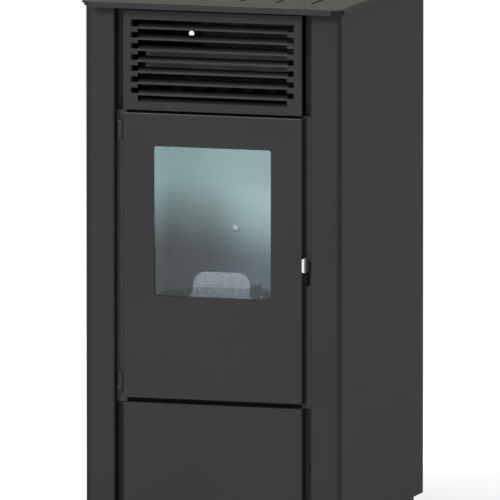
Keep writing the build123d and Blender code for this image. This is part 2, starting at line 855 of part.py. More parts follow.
# ================================================================ firebox
with BuildPart() as firebox_shell:
    with BuildSketch(Plane.YZ.offset(-box_half)):
        with BuildLine():
            Polyline(
                (front_y + frame_back, box_bottom),
                (front_y + box_behind, box_bottom),
                (front_y + box_behind, box_top),
                (front_y + box_step_behind, box_top),
                (front_y + box_step_behind, box_step),
                (front_y + frame_back, box_step),
                close=True,
            )
        make_face()
    extrude(amount=2 * box_half)
    with BuildSketch(Plane.YZ.offset(-box_inner)):
        with BuildLine():
            Polyline(
                (front_y + flange_back, box_bottom + plate),
                (front_y + box_behind - plate, box_bottom + plate),
                (front_y + box_behind - plate, box_top - plate),
                (front_y + box_step_behind + plate, box_top - plate),
                (front_y + box_step_behind + plate, box_step - plate),
                (front_y + flange_back, box_step - plate),
                close=True,
            )
        make_face()
    extrude(amount=2 * box_inner, mode=cut)
    # sealing flange against the front frame, cut back on the right for the latch
    block((-flange_half, flange_half), (frame_back, flange_back),
          (door_bottom - flange_drop, door_top + flange_rise))
    block((box_half + latch_notch_gap, flange_half + overshoot),
          (frame_back - overshoot, flange_back + overshoot),
          (latch_height - latch_notch_low, latch_height + latch_notch_high), cut)
    block((-box_inner, box_inner), (flange_back, flange_back + overshoot),
          (box_bottom + plate, box_step - plate), cut)
    mouth_z = (door_bottom + mouth_low, door_top - mouth_high)
    block((-mouth_half, mouth_half), (frame_back - overshoot, flange_back + overshoot), mouth_z, cut)
    # ash hole in the floor, over the drawer
    block((-ash_hole_half, ash_hole_half),
          (flange_back + ash_hole_margin, box_behind - plate - ash_hole_margin),
          (box_bottom - overshoot, box_bottom + plate), cut)
    # smoke collector: a sheet box bolted behind the back wall, down to the exhaust fan
    collector_x = (collector_left, exhaust_left)
    collector_front = box_behind + touch_gap
    block(collector_x, (collector_front, collector_near), (collector_bottom, collector_top))
    block(collector_x, (collector_front, collector_far), (collector_bottom, collector_step))
    hollow_x = (collector_left + sheet, exhaust_left - sheet)
    block(hollow_x, (collector_front + sheet, collector_near - sheet),
          (collector_bottom + sheet, collector_top - sheet), cut)
    block(hollow_x, (collector_front + sheet, collector_far - sheet),
          (collector_bottom + sheet, collector_step - sheet), cut)
    block(hollow_x, (box_behind - plate - overshoot, collector_front + sheet + overshoot),
          (smoke_hole_low, smoke_hole_high), cut)
    rod("X", (exhaust_behind, exhaust_height), (hollow_x[1] - overshoot, exhaust_left + overshoot),
        exhaust_inlet_radius, cut)
    # holes for the heat tubes, the pellet chute, the combustion air and the igniter
    for number in range(tube_count):
        tube_x = (number - (tube_count - 1) / 2) * tube_pitch
        rod("Y", (tube_x, tube_height), (box_step_behind - overshoot, box_behind + overshoot),
            tube_radius, cut)
    with Locations(auger_plane):
        Cylinder(auger_tube_radius + touch_gap, auger_length + auger_tube_radius,
                 align=upward, mode=cut)
    rod("Y", (intake_x, intake_height), (box_behind - plate - overshoot, box_behind + overshoot),
        intake_radius - intake_wall, cut)
    rod("Y", (0.0, support_top - igniter_drop), (box_behind - plate - overshoot, box_behind + overshoot),
        igniter_sleeve_radius, cut)
save(firebox_shell, "firebox_shell")

with BuildPart() as heat_tubes:
    for number in range(tube_count):
        tube_x = (number - (tube_count - 1) / 2) * tube_pitch
        span = (box_step_behind - tube_stub, box_behind + tube_stub)
        rod("Y", (tube_x, tube_height), span, tube_radius)
        rod("Y", (tube_x, tube_height), span, tube_radius - tube_wall, cut)
save(heat_tubes, "heat_tubes")

support_under = support_top - plate
liner_back = box_behind - plate
back_liner_front = liner_back - back_liner_sheet
with BuildPart() as back_liner:
    block((-box_inner, box_inner), (back_liner_front, liner_back),
          (support_top, back_liner_top))
    rod("Y", (0.0, support_top + bolt_rise), (back_liner_front, liner_back), bolt_radius, cut)
    # cut out round the pellet chute
    with Locations(auger_plane):
        Cylinder(auger_tube_radius + slip, auger_length + auger_tube_radius, align=upward, mode=cut)
save(back_liner, "back_liner")

with BuildPart() as side_liners:
    for side in (-1, 1):
        spread = sorted((side * box_inner, side * (box_inner - liner)))
        block(spread, (flange_back + side_liner_start, back_liner_front), (support_top, side_liner_top))
save(side_liners, "side_liners")

with BuildPart() as baffle:
    block((-box_inner + slip, box_inner - slip), (flange_back + side_liner_start, baffle_end),
          (side_liner_top, side_liner_top + baffle_sheet))
save(baffle, "baffle")

pot_back = pot_front + pot_depth
with BuildPart() as burn_pot_support:
    block((-box_inner, box_inner), (flange_back, liner_back), (support_under, support_top))
    block((-pot_half - pot_slack, pot_half + pot_slack), (pot_front - pot_slack, pot_back + pot_slack),
          (support_under, support_top), cut)
    # ash drops through a slot on each side of the pot
    for side in (-1, 1):
        slot_x = sorted(
            (side * (support_screw_x + ash_slot_near), side * (box_inner - liner - ash_slot_edge)),
        )
        block(slot_x, (pot_front, pot_back), (support_under, support_top), cut)
        rod("Z", (side * support_screw_x, pot_front + pot_depth / 2), (support_under, support_top),
            screw_radius, cut)
save(burn_pot_support, "burn_pot_support")

with BuildPart() as firebox_bolts:
    bolt_z = support_top + bolt_rise
    rod("Y", (0.0, bolt_z), (back_liner_front - bolt_head, back_liner_front), bolt_head_radius)
    rod("Y", (0.0, bolt_z), (back_liner_front, liner_back), bolt_radius)
    for side in (-1, 1):
        spot = (side * support_screw_x, pot_front + pot_depth / 2)
        rod("Z", spot, (support_top, support_top + screw_head), support_screw_radius)
        rod("Z", spot, (support_under - plate, support_top), screw_radius)
save(firebox_bolts, "firebox_bolts")

pot_z = (support_top - pot_below, support_top + pot_rim_rise)
with BuildPart() as burn_pot:
    block((-pot_half, pot_half), (pot_front, pot_back), pot_z)
    block((-pot_half - pot_flange, pot_half + pot_flange),
          (pot_front - pot_flange, pot_back + pot_flange),
          (support_top + touch_gap, support_top + touch_gap + pot_wall))
    block((-pot_half + pot_wall, pot_half - pot_wall), (pot_front + pot_wall, pot_back - pot_wall),
          (pot_z[0] + pot_wall, pot_z[1]), cut)
    # the upright plate with its rounded shoulders, just inside the front wall
    plate_plane = Plane(origin=(0, front_y + pot_front + pot_wall, pot_z[1]), x_dir=(1, 0, 0),
                        z_dir=(0, 1, 0))
    with BuildSketch(plate_plane) as upright:
        plate_low = pot_rim_rise + pot_below - pot_wall
        plate_high = pot_plate_rise - pot_rim_rise
        with Locations((0, (plate_low - plate_high) / 2)):
            Rectangle(2 * pot_half, plate_low + plate_high)
        fillet(upright.vertices().group_by(Axis.Z)[-1], pot_plate_radius)
    extrude(amount=pot_wall)
    for column in range(air_hole_columns):
        hole_x = (column - (air_hole_columns - 1) / 2) * air_hole_pitch
        for row in range(air_hole_rows):
            hole_y = pot_front + pot_depth / 2 + pot_wall + (
                row - (air_hole_rows - 1) / 2
            ) * air_hole_pitch
            rod("Z", (hole_x, hole_y), (pot_z[0] - overshoot, pot_z[0] + pot_wall + overshoot),
                air_hole_radius, cut)
    rod("Y", (0.0, support_top - igniter_drop), (pot_back - pot_wall - overshoot, pot_back + overshoot),
        igniter_radius + igniter_play, cut)
save(burn_pot, "burn_pot")

with BuildPart() as igniter:
    igniter_at = (0.0, support_top - igniter_drop)
    rod("Y", igniter_at, (pot_back + pot_slack, box_behind + igniter_tail), igniter_radius)
    rod("Y", igniter_at, (liner_back - igniter_sleeve_reach, box_behind + igniter_sleeve_reach),
        igniter_sleeve_radius - touch_gap)
    rod("Y", igniter_at, (box_behind, box_behind + plate), igniter_sleeve_radius + plate)
save(igniter, "igniter")

# ================================================================ pellet auger
with BuildPart() as auger_tube:
    with Locations(auger_plane):
        Cylinder(auger_tube_radius, auger_length, align=upward)
        Cylinder(auger_tube_radius - auger_tube_wall, auger_length,
                 align=upward, mode=cut)
        # closed low end, with a bearing hole for the shaft
        Cylinder(auger_tube_radius, plate, align=downward)
        Cylinder(auger_core_radius + running_fit, 2 * plate, mode=cut)
    # pellets drop in through the hopper's spout
    spout_x = (-spout_half + hopper_sheet, spout_half - hopper_sheet)
    spout_y = (spout_front + hopper_sheet, spout_front + spout_depth - hopper_sheet)
    block(spout_x, spout_y, (feed_low, funnel_bottom), cut)
save(auger_tube, "auger_tube")

with BuildPart() as auger:
    flight_length = auger_length - 3 * auger_flight_sheet
    with Locations(auger_plane.offset(-gearbox_length / 2)):
        Cylinder(auger_core_radius, auger_length + gearbox_length / 2 - auger_flight_sheet,
                 align=upward)
    mean_radius = (auger_flight_radius + auger_core_radius) / 2
    flight_plane = auger_plane.offset(auger_flight_sheet)
    with BuildLine():
        path = Helix(auger_pitch, flight_length - 2 * auger_flight_sheet, mean_radius,
                     center=flight_plane.origin, direction=flight_plane.z_dir)
    with BuildSketch(Plane(origin=path @ 0, x_dir=(path @ 0) - flight_plane.origin, z_dir=path % 0)):
        Rectangle(auger_flight_radius - auger_core_radius + overshoot, auger_flight_sheet)
    sweep(path=path, is_frenet=True)
save(auger, "auger")

with BuildPart() as auger_motor:
    gear_plane = auger_plane.offset(-plate)
    with Locations(gear_plane):
        Box(gearbox_size, gearbox_size, gearbox_length, align=downward)
    fillet(auger_motor.edges().filter_by(Axis(auger_low, auger_line)), fold_radius)
    with Locations(gear_plane.offset(-gearbox_length)):
        Cylinder(gearmotor_radius, gearmotor_length, align=downward)
    with Locations(gear_plane):
        Cylinder(auger_core_radius + running_fit, gearbox_length / 2 + plate,
                 align=downward, mode=cut)
save(auger_motor, "auger_motor")

# ================================================================ exhaust fan
exhaust_right = exhaust_left + exhaust_width
exhaust_at = (exhaust_behind, exhaust_height)
outlet_end = exhaust_behind + exhaust_radius
with BuildPart() as exhaust_housing:
    outlet_z = (spigot_height - spigot_radius, spigot_height + spigot_radius)
    rod("X", exhaust_at, (exhaust_left, exhaust_right), exhaust_radius)
    block((exhaust_left, exhaust_right), (exhaust_behind, outlet_end), outlet_z)
    block((spigot_x - spigot_radius, spigot_x + spigot_radius), (outlet_end - plate, outlet_end),
          outlet_z)
    rod("Y", (spigot_x, spigot_height), (outlet_end, casing_depth), spigot_radius + spigot_collar)
    rod("Y", (spigot_x, spigot_height), (casing_depth, casing_depth + spigot_reach), spigot_radius)
    inner_x = (exhaust_left + exhaust_wall, exhaust_right - exhaust_wall)
    rod("X", exhaust_at, inner_x, exhaust_radius - exhaust_wall, cut)
    block(inner_x, (exhaust_behind, outlet_end - plate),
          (outlet_z[0] + exhaust_wall, outlet_z[1] - exhaust_wall), cut)
    rod("Y", (spigot_x, spigot_height), (outlet_end, casing_depth + spigot_reach + overshoot),
        spigot_radius - spigot_wall, cut)
    block(inner_x, (outlet_end - plate - overshoot, outlet_end + overshoot),
          (spigot_height - spigot_radius / 2, spigot_height + spigot_radius / 2), cut)
    rod("X", exhaust_at, (exhaust_left - overshoot, inner_x[0] + overshoot), exhaust_inlet_radius, cut)
    rod("X", exhaust_at, (inner_x[1] - overshoot, exhaust_right + overshoot), shaft_radius + shaft_play,
        cut)
save(exhaust_housing, "exhaust_housing")

with BuildPart() as exhaust_impeller:
    disc = (exhaust_right - exhaust_wall - 2 * plate, exhaust_right - exhaust_wall - plate)
    vane_x = (exhaust_left + exhaust_wall + 2 * plate, disc[0])
    rod("X", exhaust_at, disc, impeller_radius)
    rod("X", exhaust_at, vane_x, 2 * shaft_radius)
    rod("X", exhaust_at, (disc[1], exhaust_right + motor_length / 2), shaft_radius)
    hub_plane = Plane(origin=(vane_x[0], front_y + exhaust_behind, exhaust_height), z_dir=(1, 0, 0))
    with Locations(hub_plane):
        with PolarLocations(0, impeller_blades):
            Box(impeller_radius, plate, vane_x[1] - vane_x[0], align=(Align.MIN, Align.CENTER, Align.MIN))
save(exhaust_impeller, "exhaust_impeller")

with BuildPart() as exhaust_motor:
    rod("X", exhaust_at, (exhaust_right, exhaust_right + motor_gap), motor_radius + 2 * plate)
    rod("X", exhaust_at, (exhaust_right + motor_gap, exhaust_right + motor_gap + motor_length),
        motor_radius)
    fillet(exhaust_motor.edges().filter_by(GeomType.CIRCLE).group_by(Axis.X)[-1], fold_radius)
    rod("X", exhaust_at, (exhaust_right, exhaust_right + motor_length / 2 + motor_gap),
        shaft_radius + running_fit, cut)
save(exhaust_motor, "exhaust_motor")

with BuildPart() as air_intake_tube:
    intake_end = casing_depth + intake_reach
    rod("Y", (intake_x, intake_height), (box_behind, casing_depth), intake_radius + spigot_collar)
    rod("Y", (intake_x, intake_height), (casing_depth, intake_end), intake_radius)
    rod("Y", (intake_x, intake_height), (box_behind, intake_end), intake_radius - intake_wall, cut)
save(air_intake_tube, "air_intake_tube")

# ================================================================ room-air blower
blower_at = (blower_behind, blower_height)
with BuildPart() as blower_housing:
    rod("X", blower_at, (blower_left, blower_right), blower_radius)
    block((blower_left, blower_right), (blower_front, blower_front + blower_outlet),
          (blower_height, blower_outlet_top))
    inner_x = (blower_left + blower_wall, blower_right - blower_wall)
    rod("X", blower_at, inner_x, blower_radius - blower_wall, cut)
    block(inner_x, (blower_front + blower_wall, blower_front + blower_outlet - blower_wall),
          (blower_height, blower_outlet_top), cut)
    rod("X", blower_at, (blower_left - overshoot, inner_x[0] + overshoot), blower_inlet_radius, cut)
    rod("X", blower_at, (inner_x[1] - overshoot, blower_right + overshoot), shaft_radius + shaft_play,
        cut)
    # the foot that stands it on the base
    for foot_x0 in (blower_left + blower_foot_sheet, blower_right - 2 * blower_foot_sheet):
        block((foot_x0, foot_x0 + blower_foot_sheet),
              (blower_behind - blower_foot_half, blower_behind + blower_foot_half),
              (base_height, blower_height - blower_radius + blower_foot_lap))
save(blower_housing, "blower_housing")

with BuildPart() as blower_rotor:
    disc = (blower_right - blower_wall - 2 * plate, blower_right - blower_wall - plate)
    cage_x = (blower_left + blower_wall + 2 * plate, disc[0])
    rod("X", blower_at, disc, rotor_radius)
    rod("X", blower_at, (disc[0] - 2 * plate, disc[0]), 2 * shaft_radius)
    rod("X", blower_at, (disc[1], blower_right + motor_length / 2), shaft_radius)
    rod("X", blower_at, (cage_x[0], cage_x[0] + plate), rotor_radius)
    rod("X", blower_at, (cage_x[0], cage_x[0] + plate), rotor_radius - rotor_blade_depth, cut)
    hub_plane = Plane(origin=(cage_x[0], front_y + blower_behind, blower_height), z_dir=(1, 0, 0))
    with Locations(hub_plane):
        with PolarLocations(rotor_radius - rotor_blade_depth, rotor_blades):
            Box(rotor_blade_depth, sheet, cage_x[1] - cage_x[0],
                align=(Align.MIN, Align.CENTER, Align.MIN))
save(blower_rotor, "blower_rotor")

with BuildPart() as blower_motor:
    rod("X", blower_at, (blower_right, blower_right + motor_gap), motor_radius + 2 * plate)
    rod("X", blower_at, (blower_right + motor_gap, blower_right + motor_gap + motor_length), motor_radius)
    fillet(blower_motor.edges().filter_by(GeomType.CIRCLE).group_by(Axis.X)[-1], fold_radius)
    rod("X", blower_at, (blower_right, blower_right + motor_length / 2 + motor_gap),
        shaft_radius + running_fit, cut)
save(blower_motor, "blower_motor")

plenum_top = box_top + plenum_over
plenum_bottom = plenum_top - plenum_drop - plenum_over
duct_front = box_behind + tube_stub
with BuildPart() as air_duct:
    plenum_x = (blower_left, box_half)
    block((blower_left, blower_right), (blower_front, duct_back), (blower_outlet_top, plenum_top))
    block(plenum_x, (duct_front, duct_back), (plenum_bottom, plenum_top))
    block((blower_left + duct_sheet, blower_right - duct_sheet),
          (blower_front + duct_sheet, duct_back - duct_sheet),
          (blower_outlet_top, plenum_top - duct_sheet), cut)
    block((plenum_x[0] + duct_sheet, plenum_x[1] - duct_sheet),
          (duct_front + duct_sheet, duct_back - duct_sheet),
          (plenum_bottom + duct_sheet, plenum_top - duct_sheet), cut)
    # mouths over the heat tubes' rear ends
    for number in range(tube_count):
        tube_x = (number - (tube_count - 1) / 2) * tube_pitch
        rod("Y", (tube_x, tube_height), (duct_front - overshoot, duct_front + 2 * duct_sheet),
            tube_radius - tube_wall, cut)
save(air_duct, "air_duct")

# ================================================================ control panel
console_right = console_left + console_width
console_back = console_front + console_depth
console_top = stove_height + console_rise
display_x = (console_left + (console_width - display_width) / 2,
             console_left + (console_width + display_width) / 2)
display_y = (console_front + display_inset, console_front + display_inset + display_depth)
key_middle = console_left + console_width / 2
key_places = {
    "key_minus": (key_middle - key_pitch, console_front + key_row),
    "key_power": (key_middle, console_front + key_row),
    "key_plus": (key_middle + key_pitch, console_front + key_row),
}
with BuildPart() as control_panel:
    block((console_left, console_right), (console_front, console_back), (stove_height, console_top))
    fillet(control_panel.edges().filter_by(Axis.Z), console_rise)
    chamfer(control_panel.edges().group_by(Axis.Z)[-1], console_rise / 4)
    lap = console_lap + slip
    block((console_left + lap, console_right - lap), (console_front + lap, console_back - lap),
          (stove_height - console_drop, stove_height))
    wall = lap + console_wall
    block((console_left + wall, console_right - wall), (console_front + wall, console_back - wall),
          (stove_height - console_drop + console_wall, console_top - console_wall), cut)
    block((display_x[0] - touch_gap, display_x[1] + touch_gap),
          (display_y[0] - touch_gap, display_y[1] + touch_gap),
          (console_top - display_sheet, console_top), cut)
    for place in key_places.values():
        rod("Z", place, (console_top - 2 * console_wall, console_top), key_radius + key_slack, cut)
        # the post that the key's spring sits in
        rod("Z", place,
            (stove_height - console_drop + console_wall, console_top - console_wall - 4 * key_flange),
            key_radius)
        rod("Z", place, (stove_height - console_drop + 2 * console_wall, console_top),
            key_radius / 2 + slip, cut)
save(control_panel, "control_panel")

with BuildPart() as display:
    block(display_x, display_y, (console_top - display_sheet, console_top))
save(display, "display")

for key_name, place in key_places.items():
    with BuildPart() as key:
        rod("Z", place, (console_top - console_wall - slip, console_top + key_proud), key_radius)
        fillet(key.edges().filter_by(GeomType.CIRCLE).group_by(Axis.Z)[-1], key_radius / 6)
        flange_top = console_top - console_wall - slip
        rod("Z", place, (flange_top - key_flange, flange_top), key_radius + 3 * key_slack)
        rod("Z", place, (flange_top - 4 * key_flange, flange_top), key_radius / 2)
    save(key, key_name)

with BuildPart() as control_board:
    wall_x = -casing_inner
    card_x = wall_x + board_standoff
    block((card_x, card_x + board_sheet), (board_behind, board_behind + board_depth),
          (board_bottom, board_bottom + board_height))
    for across in (board_margin, board_depth - board_margin):
        for rise in (board_margin, board_height - board_margin):
            rod("X", (board_behind + across, board_bottom + rise), (wall_x, card_x), board_post_radius)
    # transformer, relays, capacitors and the terminal strip
    parts_behind = board_behind + board_margin
    parts_low = board_bottom + transformer_rise
    block((card_x, card_x + transformer_thick), (parts_behind, parts_behind + transformer_size),
          (parts_low, parts_low + transformer_tall))
    for number in range(relay_count):
        low = board_bottom + relay_rise + number * relay_pitch
        block((card_x, card_x + relay_size), (parts_behind, parts_behind + 2 * relay_size),
              (low, low + relay_size))
    for number in range(capacitor_count):
        middle = board_bottom + capacitor_rise + number * capacitor_pitch
        rod("X", (board_behind + capacitor_across, middle), (card_x, card_x + capacitor_length),
            capacitor_radius)
    strip_end = board_behind + board_depth - board_margin + board_post_radius
    block((card_x, card_x + terminal_thick), (strip_end - terminal_width, strip_end),
          (board_bottom + 2 * board_margin, board_bottom + board_height - 2 * board_margin))
save(control_board, "control_board")

# ================================================================ rear electrics
panel_back = rear_panel_front + sheet
inlet_z = (inlet_height - inlet_tall / 2, inlet_height + inlet_tall / 2)
rocker_z = inlet_height + rocker_rise
socket_z = inlet_height - socket_drop
with BuildPart() as mains_inlet:
    block((inlet_x - inlet_width / 2, inlet_x + inlet_width / 2), (panel_back - inlet_body, panel_back),
          inlet_z)
    block((inlet_x - inlet_width / 2 - inlet_flange, inlet_x + inlet_width / 2 + inlet_flange),
          (panel_back, panel_back + sheet), (inlet_z[0] - inlet_flange, inlet_z[1] + inlet_flange))
    block((inlet_x - socket_width / 2, inlet_x + socket_width / 2),
          (panel_back + sheet - socket_deep, panel_back + sheet),
          (socket_z - socket_tall / 2, socket_z + socket_tall / 2), cut)
    for pin_x, pin_z in ((0.0, pin_rise), (-pin_spread, -pin_drop), (pin_spread, -pin_drop)):
        block((inlet_x + pin_x - pin_half_width, inlet_x + pin_x + pin_half_width),
              (panel_back + sheet - socket_deep, panel_back - pin_short),
              (socket_z + pin_z - pin_half_height, socket_z + pin_z + pin_half_height))
    block((inlet_x - rocker_width / 2 - slip, inlet_x + rocker_width / 2 + slip),
          (panel_back + sheet - socket_deep, panel_back + sheet),
          (rocker_z - rocker_tall / 2 - slip, rocker_z + rocker_tall / 2 + slip), cut)
save(mains_inlet, "mains_inlet")

rocker_axis = panel_back + sheet - rocker_tall / 3
with BuildPart() as power_switch:
    rocker_plane = Plane(origin=(inlet_x - rocker_width / 2, front_y, rocker_z), x_dir=(0, 1, 0),
                         z_dir=(1, 0, 0))
    with BuildSketch(rocker_plane):
        with BuildLine():
            reach = rocker_tall / 2 - rocker_end_gap
            face = panel_back + sheet
            Polyline(
                (rocker_axis - rocker_inner, -rocker_root),
                (face - rocker_skirt, -reach),
                (face + rocker_crest, -reach),
                (face, 0.0),
                (face + rocker_crest, reach),
                (face - rocker_skirt, reach),
                (rocker_axis - rocker_inner, rocker_root),
                close=True,
            )
        make_face()
    extrude(amount=rocker_width)
    rod("X", (rocker_axis, rocker_z), (inlet_x - rocker_width / 2, inlet_x + rocker_width / 2),
        rocker_root)
save(power_switch, "power_switch")

with BuildPart() as safety_thermostat:
    at = (thermostat_x, thermostat_height)
    rod("Y", at, (rear_panel_front - thermostat_length, rear_panel_front), thermostat_radius)
    rod("Y", at, (rear_panel_front, panel_back + 2 * sheet), thermostat_nose)
    rod("Y", at, (rear_panel_front - thermostat_length / 2, panel_back + 2 * sheet), reset_radius + slip,
        cut)
save(safety_thermostat, "safety_thermostat")

with BuildPart() as reset_button:
    tip = panel_back + 2 * sheet + reset_proud
    rod("Y", at, (rear_panel_front - thermostat_length / 2 + 2 * reset_proud, tip), reset_radius)
    fillet(reset_button.edges().filter_by(GeomType.CIRCLE).group_by(Axis.Y)[-1], reset_radius / 3)
save(reset_button, "reset_button")

# ================================================================ door
hinge_top_z = (door_top - hinge_from_end - ear_sheet - knuckle_length,
               door_top - hinge_from_end - ear_sheet)
hinge_low_z = (door_bottom + hinge_from_end + ear_sheet,
               door_bottom + hinge_from_end + ear_sheet + knuckle_length)
hinge_at = (hinge_x, hinge_behind)

with BuildPart() as door_cover:
    tray(panel_half, (0.0, cover_depth), (door_bottom, door_top), sheet, edge_radius)
    window_plane = Plane(origin=(0, front_y, (window_low + window_high) / 2), x_dir=(1, 0, 0),
                         z_dir=(0, -1, 0))
    with BuildSketch(window_plane):
        RectangleRounded(2 * window_half, window_high - window_low, window_corner)
    extrude(amount=-2 * sheet, mode=cut)
    # the left edge is cut away round each hinge knuckle
    for span in (hinge_top_z, hinge_low_z):
        block((-panel_half - overshoot, -panel_half + 2 * sheet),
              (hinge_behind - arm_half - notch_slack, cover_depth + overshoot),
              (span[0] - ear_sheet - notch_slack, span[1] + ear_sheet + notch_slack), cut)
save(door_cover, "door_cover")

frame_z = (door_bottom + door_frame_margin, door_top - 2 * door_frame_margin)
door_frame_back = sheet + door_frame_sheet
rim_back = door_frame_back + rim_depth
glass_front = sheet + gasket_sheet
glass_back = glass_front + glass_sheet
glass_half = window_half + glass_lap
glass_z = (window_low - glass_lap, window_high + glass_lap)
latch_peg = (peg_behind, latch_height - peg_drop)
with BuildPart() as door_frame:
    block((-door_frame_half, door_frame_half), (sheet, rim_back), frame_z)
    block((-door_frame_half + rim_width, door_frame_half - rim_width), (door_frame_back, rim_back),
          (frame_z[0] + rim_width, frame_z[1] - rim_width), cut)
    # groove for the rope seal
    groove = (rim_width - seal_width) / 2
    with BuildSketch(Plane(origin=(0, front_y + rim_back, (frame_z[0] + frame_z[1]) / 2), x_dir=(1, 0, 0),
                           z_dir=(0, -1, 0))):
        Rectangle(2 * (door_frame_half - groove), frame_z[1] - frame_z[0] - 2 * groove)
        Rectangle(2 * (door_frame_half - groove - seal_width),
                  frame_z[1] - frame_z[0] - 2 * (groove + seal_width), mode=cut)
    extrude(amount=seal_groove, mode=cut)
    # pocket for the glass and the window behind it
    block((-glass_half - slip, glass_half + slip), (sheet, glass_back),
          (glass_z[0] - slip, glass_z[1] + slip), cut)
    block((-window_half - window_land, window_half + window_land), (0.0, rim_back),
          (window_low - window_land, window_high + window_land),
          cut)
    # hinge arms and knuckles on the left edge
    for span in (hinge_top_z, hinge_low_z):
        middle_z = (span[0] + slip, span[1] - slip)
        block((hinge_x, -door_frame_half), (hinge_behind - arm_half, hinge_behind + arm_half), middle_z)
        rod("Z", hinge_at, middle_z, knuckle_radius)
        rod("Z", hinge_at, (span[0] - overshoot, span[1] + overshoot), hinge_pin_radius + running_fit,
            cut)
    # the latch's keeper, bolted on the right edge, with its peg
    block((door_frame_half + touch_gap, door_frame_half + keeper_sheet),
          (sheet + plate, peg_behind + peg_radius + sheet),
          (latch_peg[1] - 2 * peg_radius, latch_peg[1] + 2 * peg_radius))
    rod("X", latch_peg, (door_frame_half + keeper_sheet, peg_end), peg_radius)
save(door_frame, "door_frame")

with BuildPart() as window_glass:
    block((-glass_half, glass_half), (glass_front, glass_back), glass_z)
save(window_glass, "window_glass")

with BuildPart() as glass_gasket:
    block((-glass_half, glass_half), (sheet, glass_front), glass_z)
    block((-glass_half + gasket_width, glass_half - gasket_width), (sheet, glass_front),
          (glass_z[0] + gasket_width, glass_z[1] - gasket_width), cut)
save(glass_gasket, "glass_gasket")

with BuildPart() as door_seal:
    seal_plane = Plane(origin=(0, front_y + rim_back - seal_groove, (frame_z[0] + frame_z[1]) / 2),
                       x_dir=(1, 0, 0), z_dir=(0, -1, 0))
    with BuildSketch(seal_plane):
        seal_inset = groove + touch_gap
        seal_hole = groove + seal_width - touch_gap
        Rectangle(2 * (door_frame_half - seal_inset), frame_z[1] - frame_z[0] - 2 * seal_inset)
        Rectangle(2 * (door_frame_half - seal_hole), frame_z[1] - frame_z[0] - 2 * seal_hole, mode=cut)
    extrude(amount=-(frame_back - slip - rim_back + seal_groove))
    fillet(door_seal.edges().group_by(Axis.Y)[-1], seal_width / 4)
save(door_seal, "door_seal")

with BuildPart() as hinge_brackets:
    ear_x = (hinge_x - ear_left, hinge_x + ear_right)
    for ear_z, pin_z, leg_z in (
        ((hinge_top_z[1], hinge_top_z[1] + ear_sheet),
         (hinge_top_z[0] + knuckle_length / 3, hinge_top_z[1]),
         (hinge_top_z[0], hinge_top_z[1] + ear_sheet)),
        ((hinge_low_z[0] - ear_sheet, hinge_low_z[0]),
         (hinge_low_z[0], hinge_low_z[1] - knuckle_length / 3),
         (hinge_low_z[0] - ear_sheet, hinge_low_z[1])),
    ):
        with BuildSketch(Plane.XY.offset(ear_z[0])) as ear:
            with Locations((ear_x[0], front_y + slip)):
                Rectangle(ear_x[1] - ear_x[0], surround_depth - slip, align=(Align.MIN, Align.MIN))
            fillet(ear.vertices().group_by(Axis.Y)[0], ear_round)
        extrude(amount=ear_sheet)
        rod("Z", hinge_at, pin_z, hinge_pin_radius)
        block((ear_x[0] - hinge_leg_lap, hinge_x + hinge_leg_right),
              (surround_depth - hinge_leg_sheet, surround_depth), leg_z)
save(hinge_brackets, "hinge_brackets")

# ================================================================ door latch
latch_at = (latch_behind, latch_height)
lever_x = (lever_middle - lever_sheet / 2, lever_middle + lever_sheet / 2)
hook_x = (hook_inner, hook_inner + lever_sheet)
grip_z = latch_height + grip_rise
grip_middle = grip_depth / 2 - grip_proud
with BuildPart() as latch_lever:
    rod("X", latch_at, (hook_inner, pivot_ears[1][1] + sheet), latch_shaft_radius)
    rod("X", latch_at, lever_x, latch_hub_radius)
    rod("X", latch_at, hook_x, latch_hub_radius)
    # arm from the shaft to the grip
    arm_line = Vector(0, front_y + grip_middle, grip_z) - Vector(0, front_y + latch_behind, latch_height)
    arm_plane = Plane(origin=(lever_middle, front_y + latch_behind, latch_height), x_dir=(1, 0, 0),
                      z_dir=arm_line)
    with Locations(arm_plane):
        Box(lever_sheet, lever_width, arm_line.length - lever_tip_gap, align=upward)
    # hook that swings down in front of the door's peg
    hook_plane = Plane(origin=(hook_inner, front_y + latch_behind, latch_height),
                       x_dir=Vector(0, 1, 0).rotate(Axis.X, hook_rest_angle), z_dir=(1, 0, 0))
    with Locations(hook_plane):
        with Locations((-hook_reach / 2, 0)):
            Box(hook_reach, hook_bar_width, lever_sheet, align=upward)
        with Locations((-hook_reach, 0)):
            Cylinder(hook_finger_radius, lever_sheet, align=upward)
    # the grip slides on here
    block((lever_middle + lever_sheet / 2 - grip_width, lever_middle + lever_sheet / 2),
          (-grip_proud, grip_depth - grip_proud), (grip_z - grip_height / 2, grip_z + grip_height / 2),
          cut)
save(latch_lever, "latch_lever")

with BuildPart() as latch_grip:
    block((lever_middle + lever_sheet / 2 - grip_width, lever_middle + lever_sheet / 2),
          (-grip_proud, grip_depth - grip_proud), (grip_z - grip_height / 2, grip_z + grip_height / 2))
    fillet(latch_grip.edges(), grip_radius)
save(latch_grip, "latch_grip")

# ================================================================ ash drawer
with BuildPart() as lower_panel:
    tray(panel_half, (0.0, recess_depth - slip), (lower_bottom, lower_top), sheet, edge_radius)
save(lower_panel, "lower_panel")

with BuildPart() as ash_pan:
    block((-pan_half, pan_half), (pan_front, pan_end), (pan_bottom, pan_top))
    block((-pan_half + pan_sheet, pan_half - pan_sheet), (pan_front + pan_sheet, pan_end - pan_sheet),
          (pan_bottom + pan_sheet, pan_top), cut)
    # two folded brackets reach forward to the drawer's front
    for side in (-1, 1):
        link = sorted((side * drawer_link_half, side * (drawer_link_half + drawer_link_sheet)))
        block(link, (sheet, pan_front),
              (pan_bottom + drawer_link_inset, pan_top - drawer_link_inset))
save(ash_pan, "ash_pan")

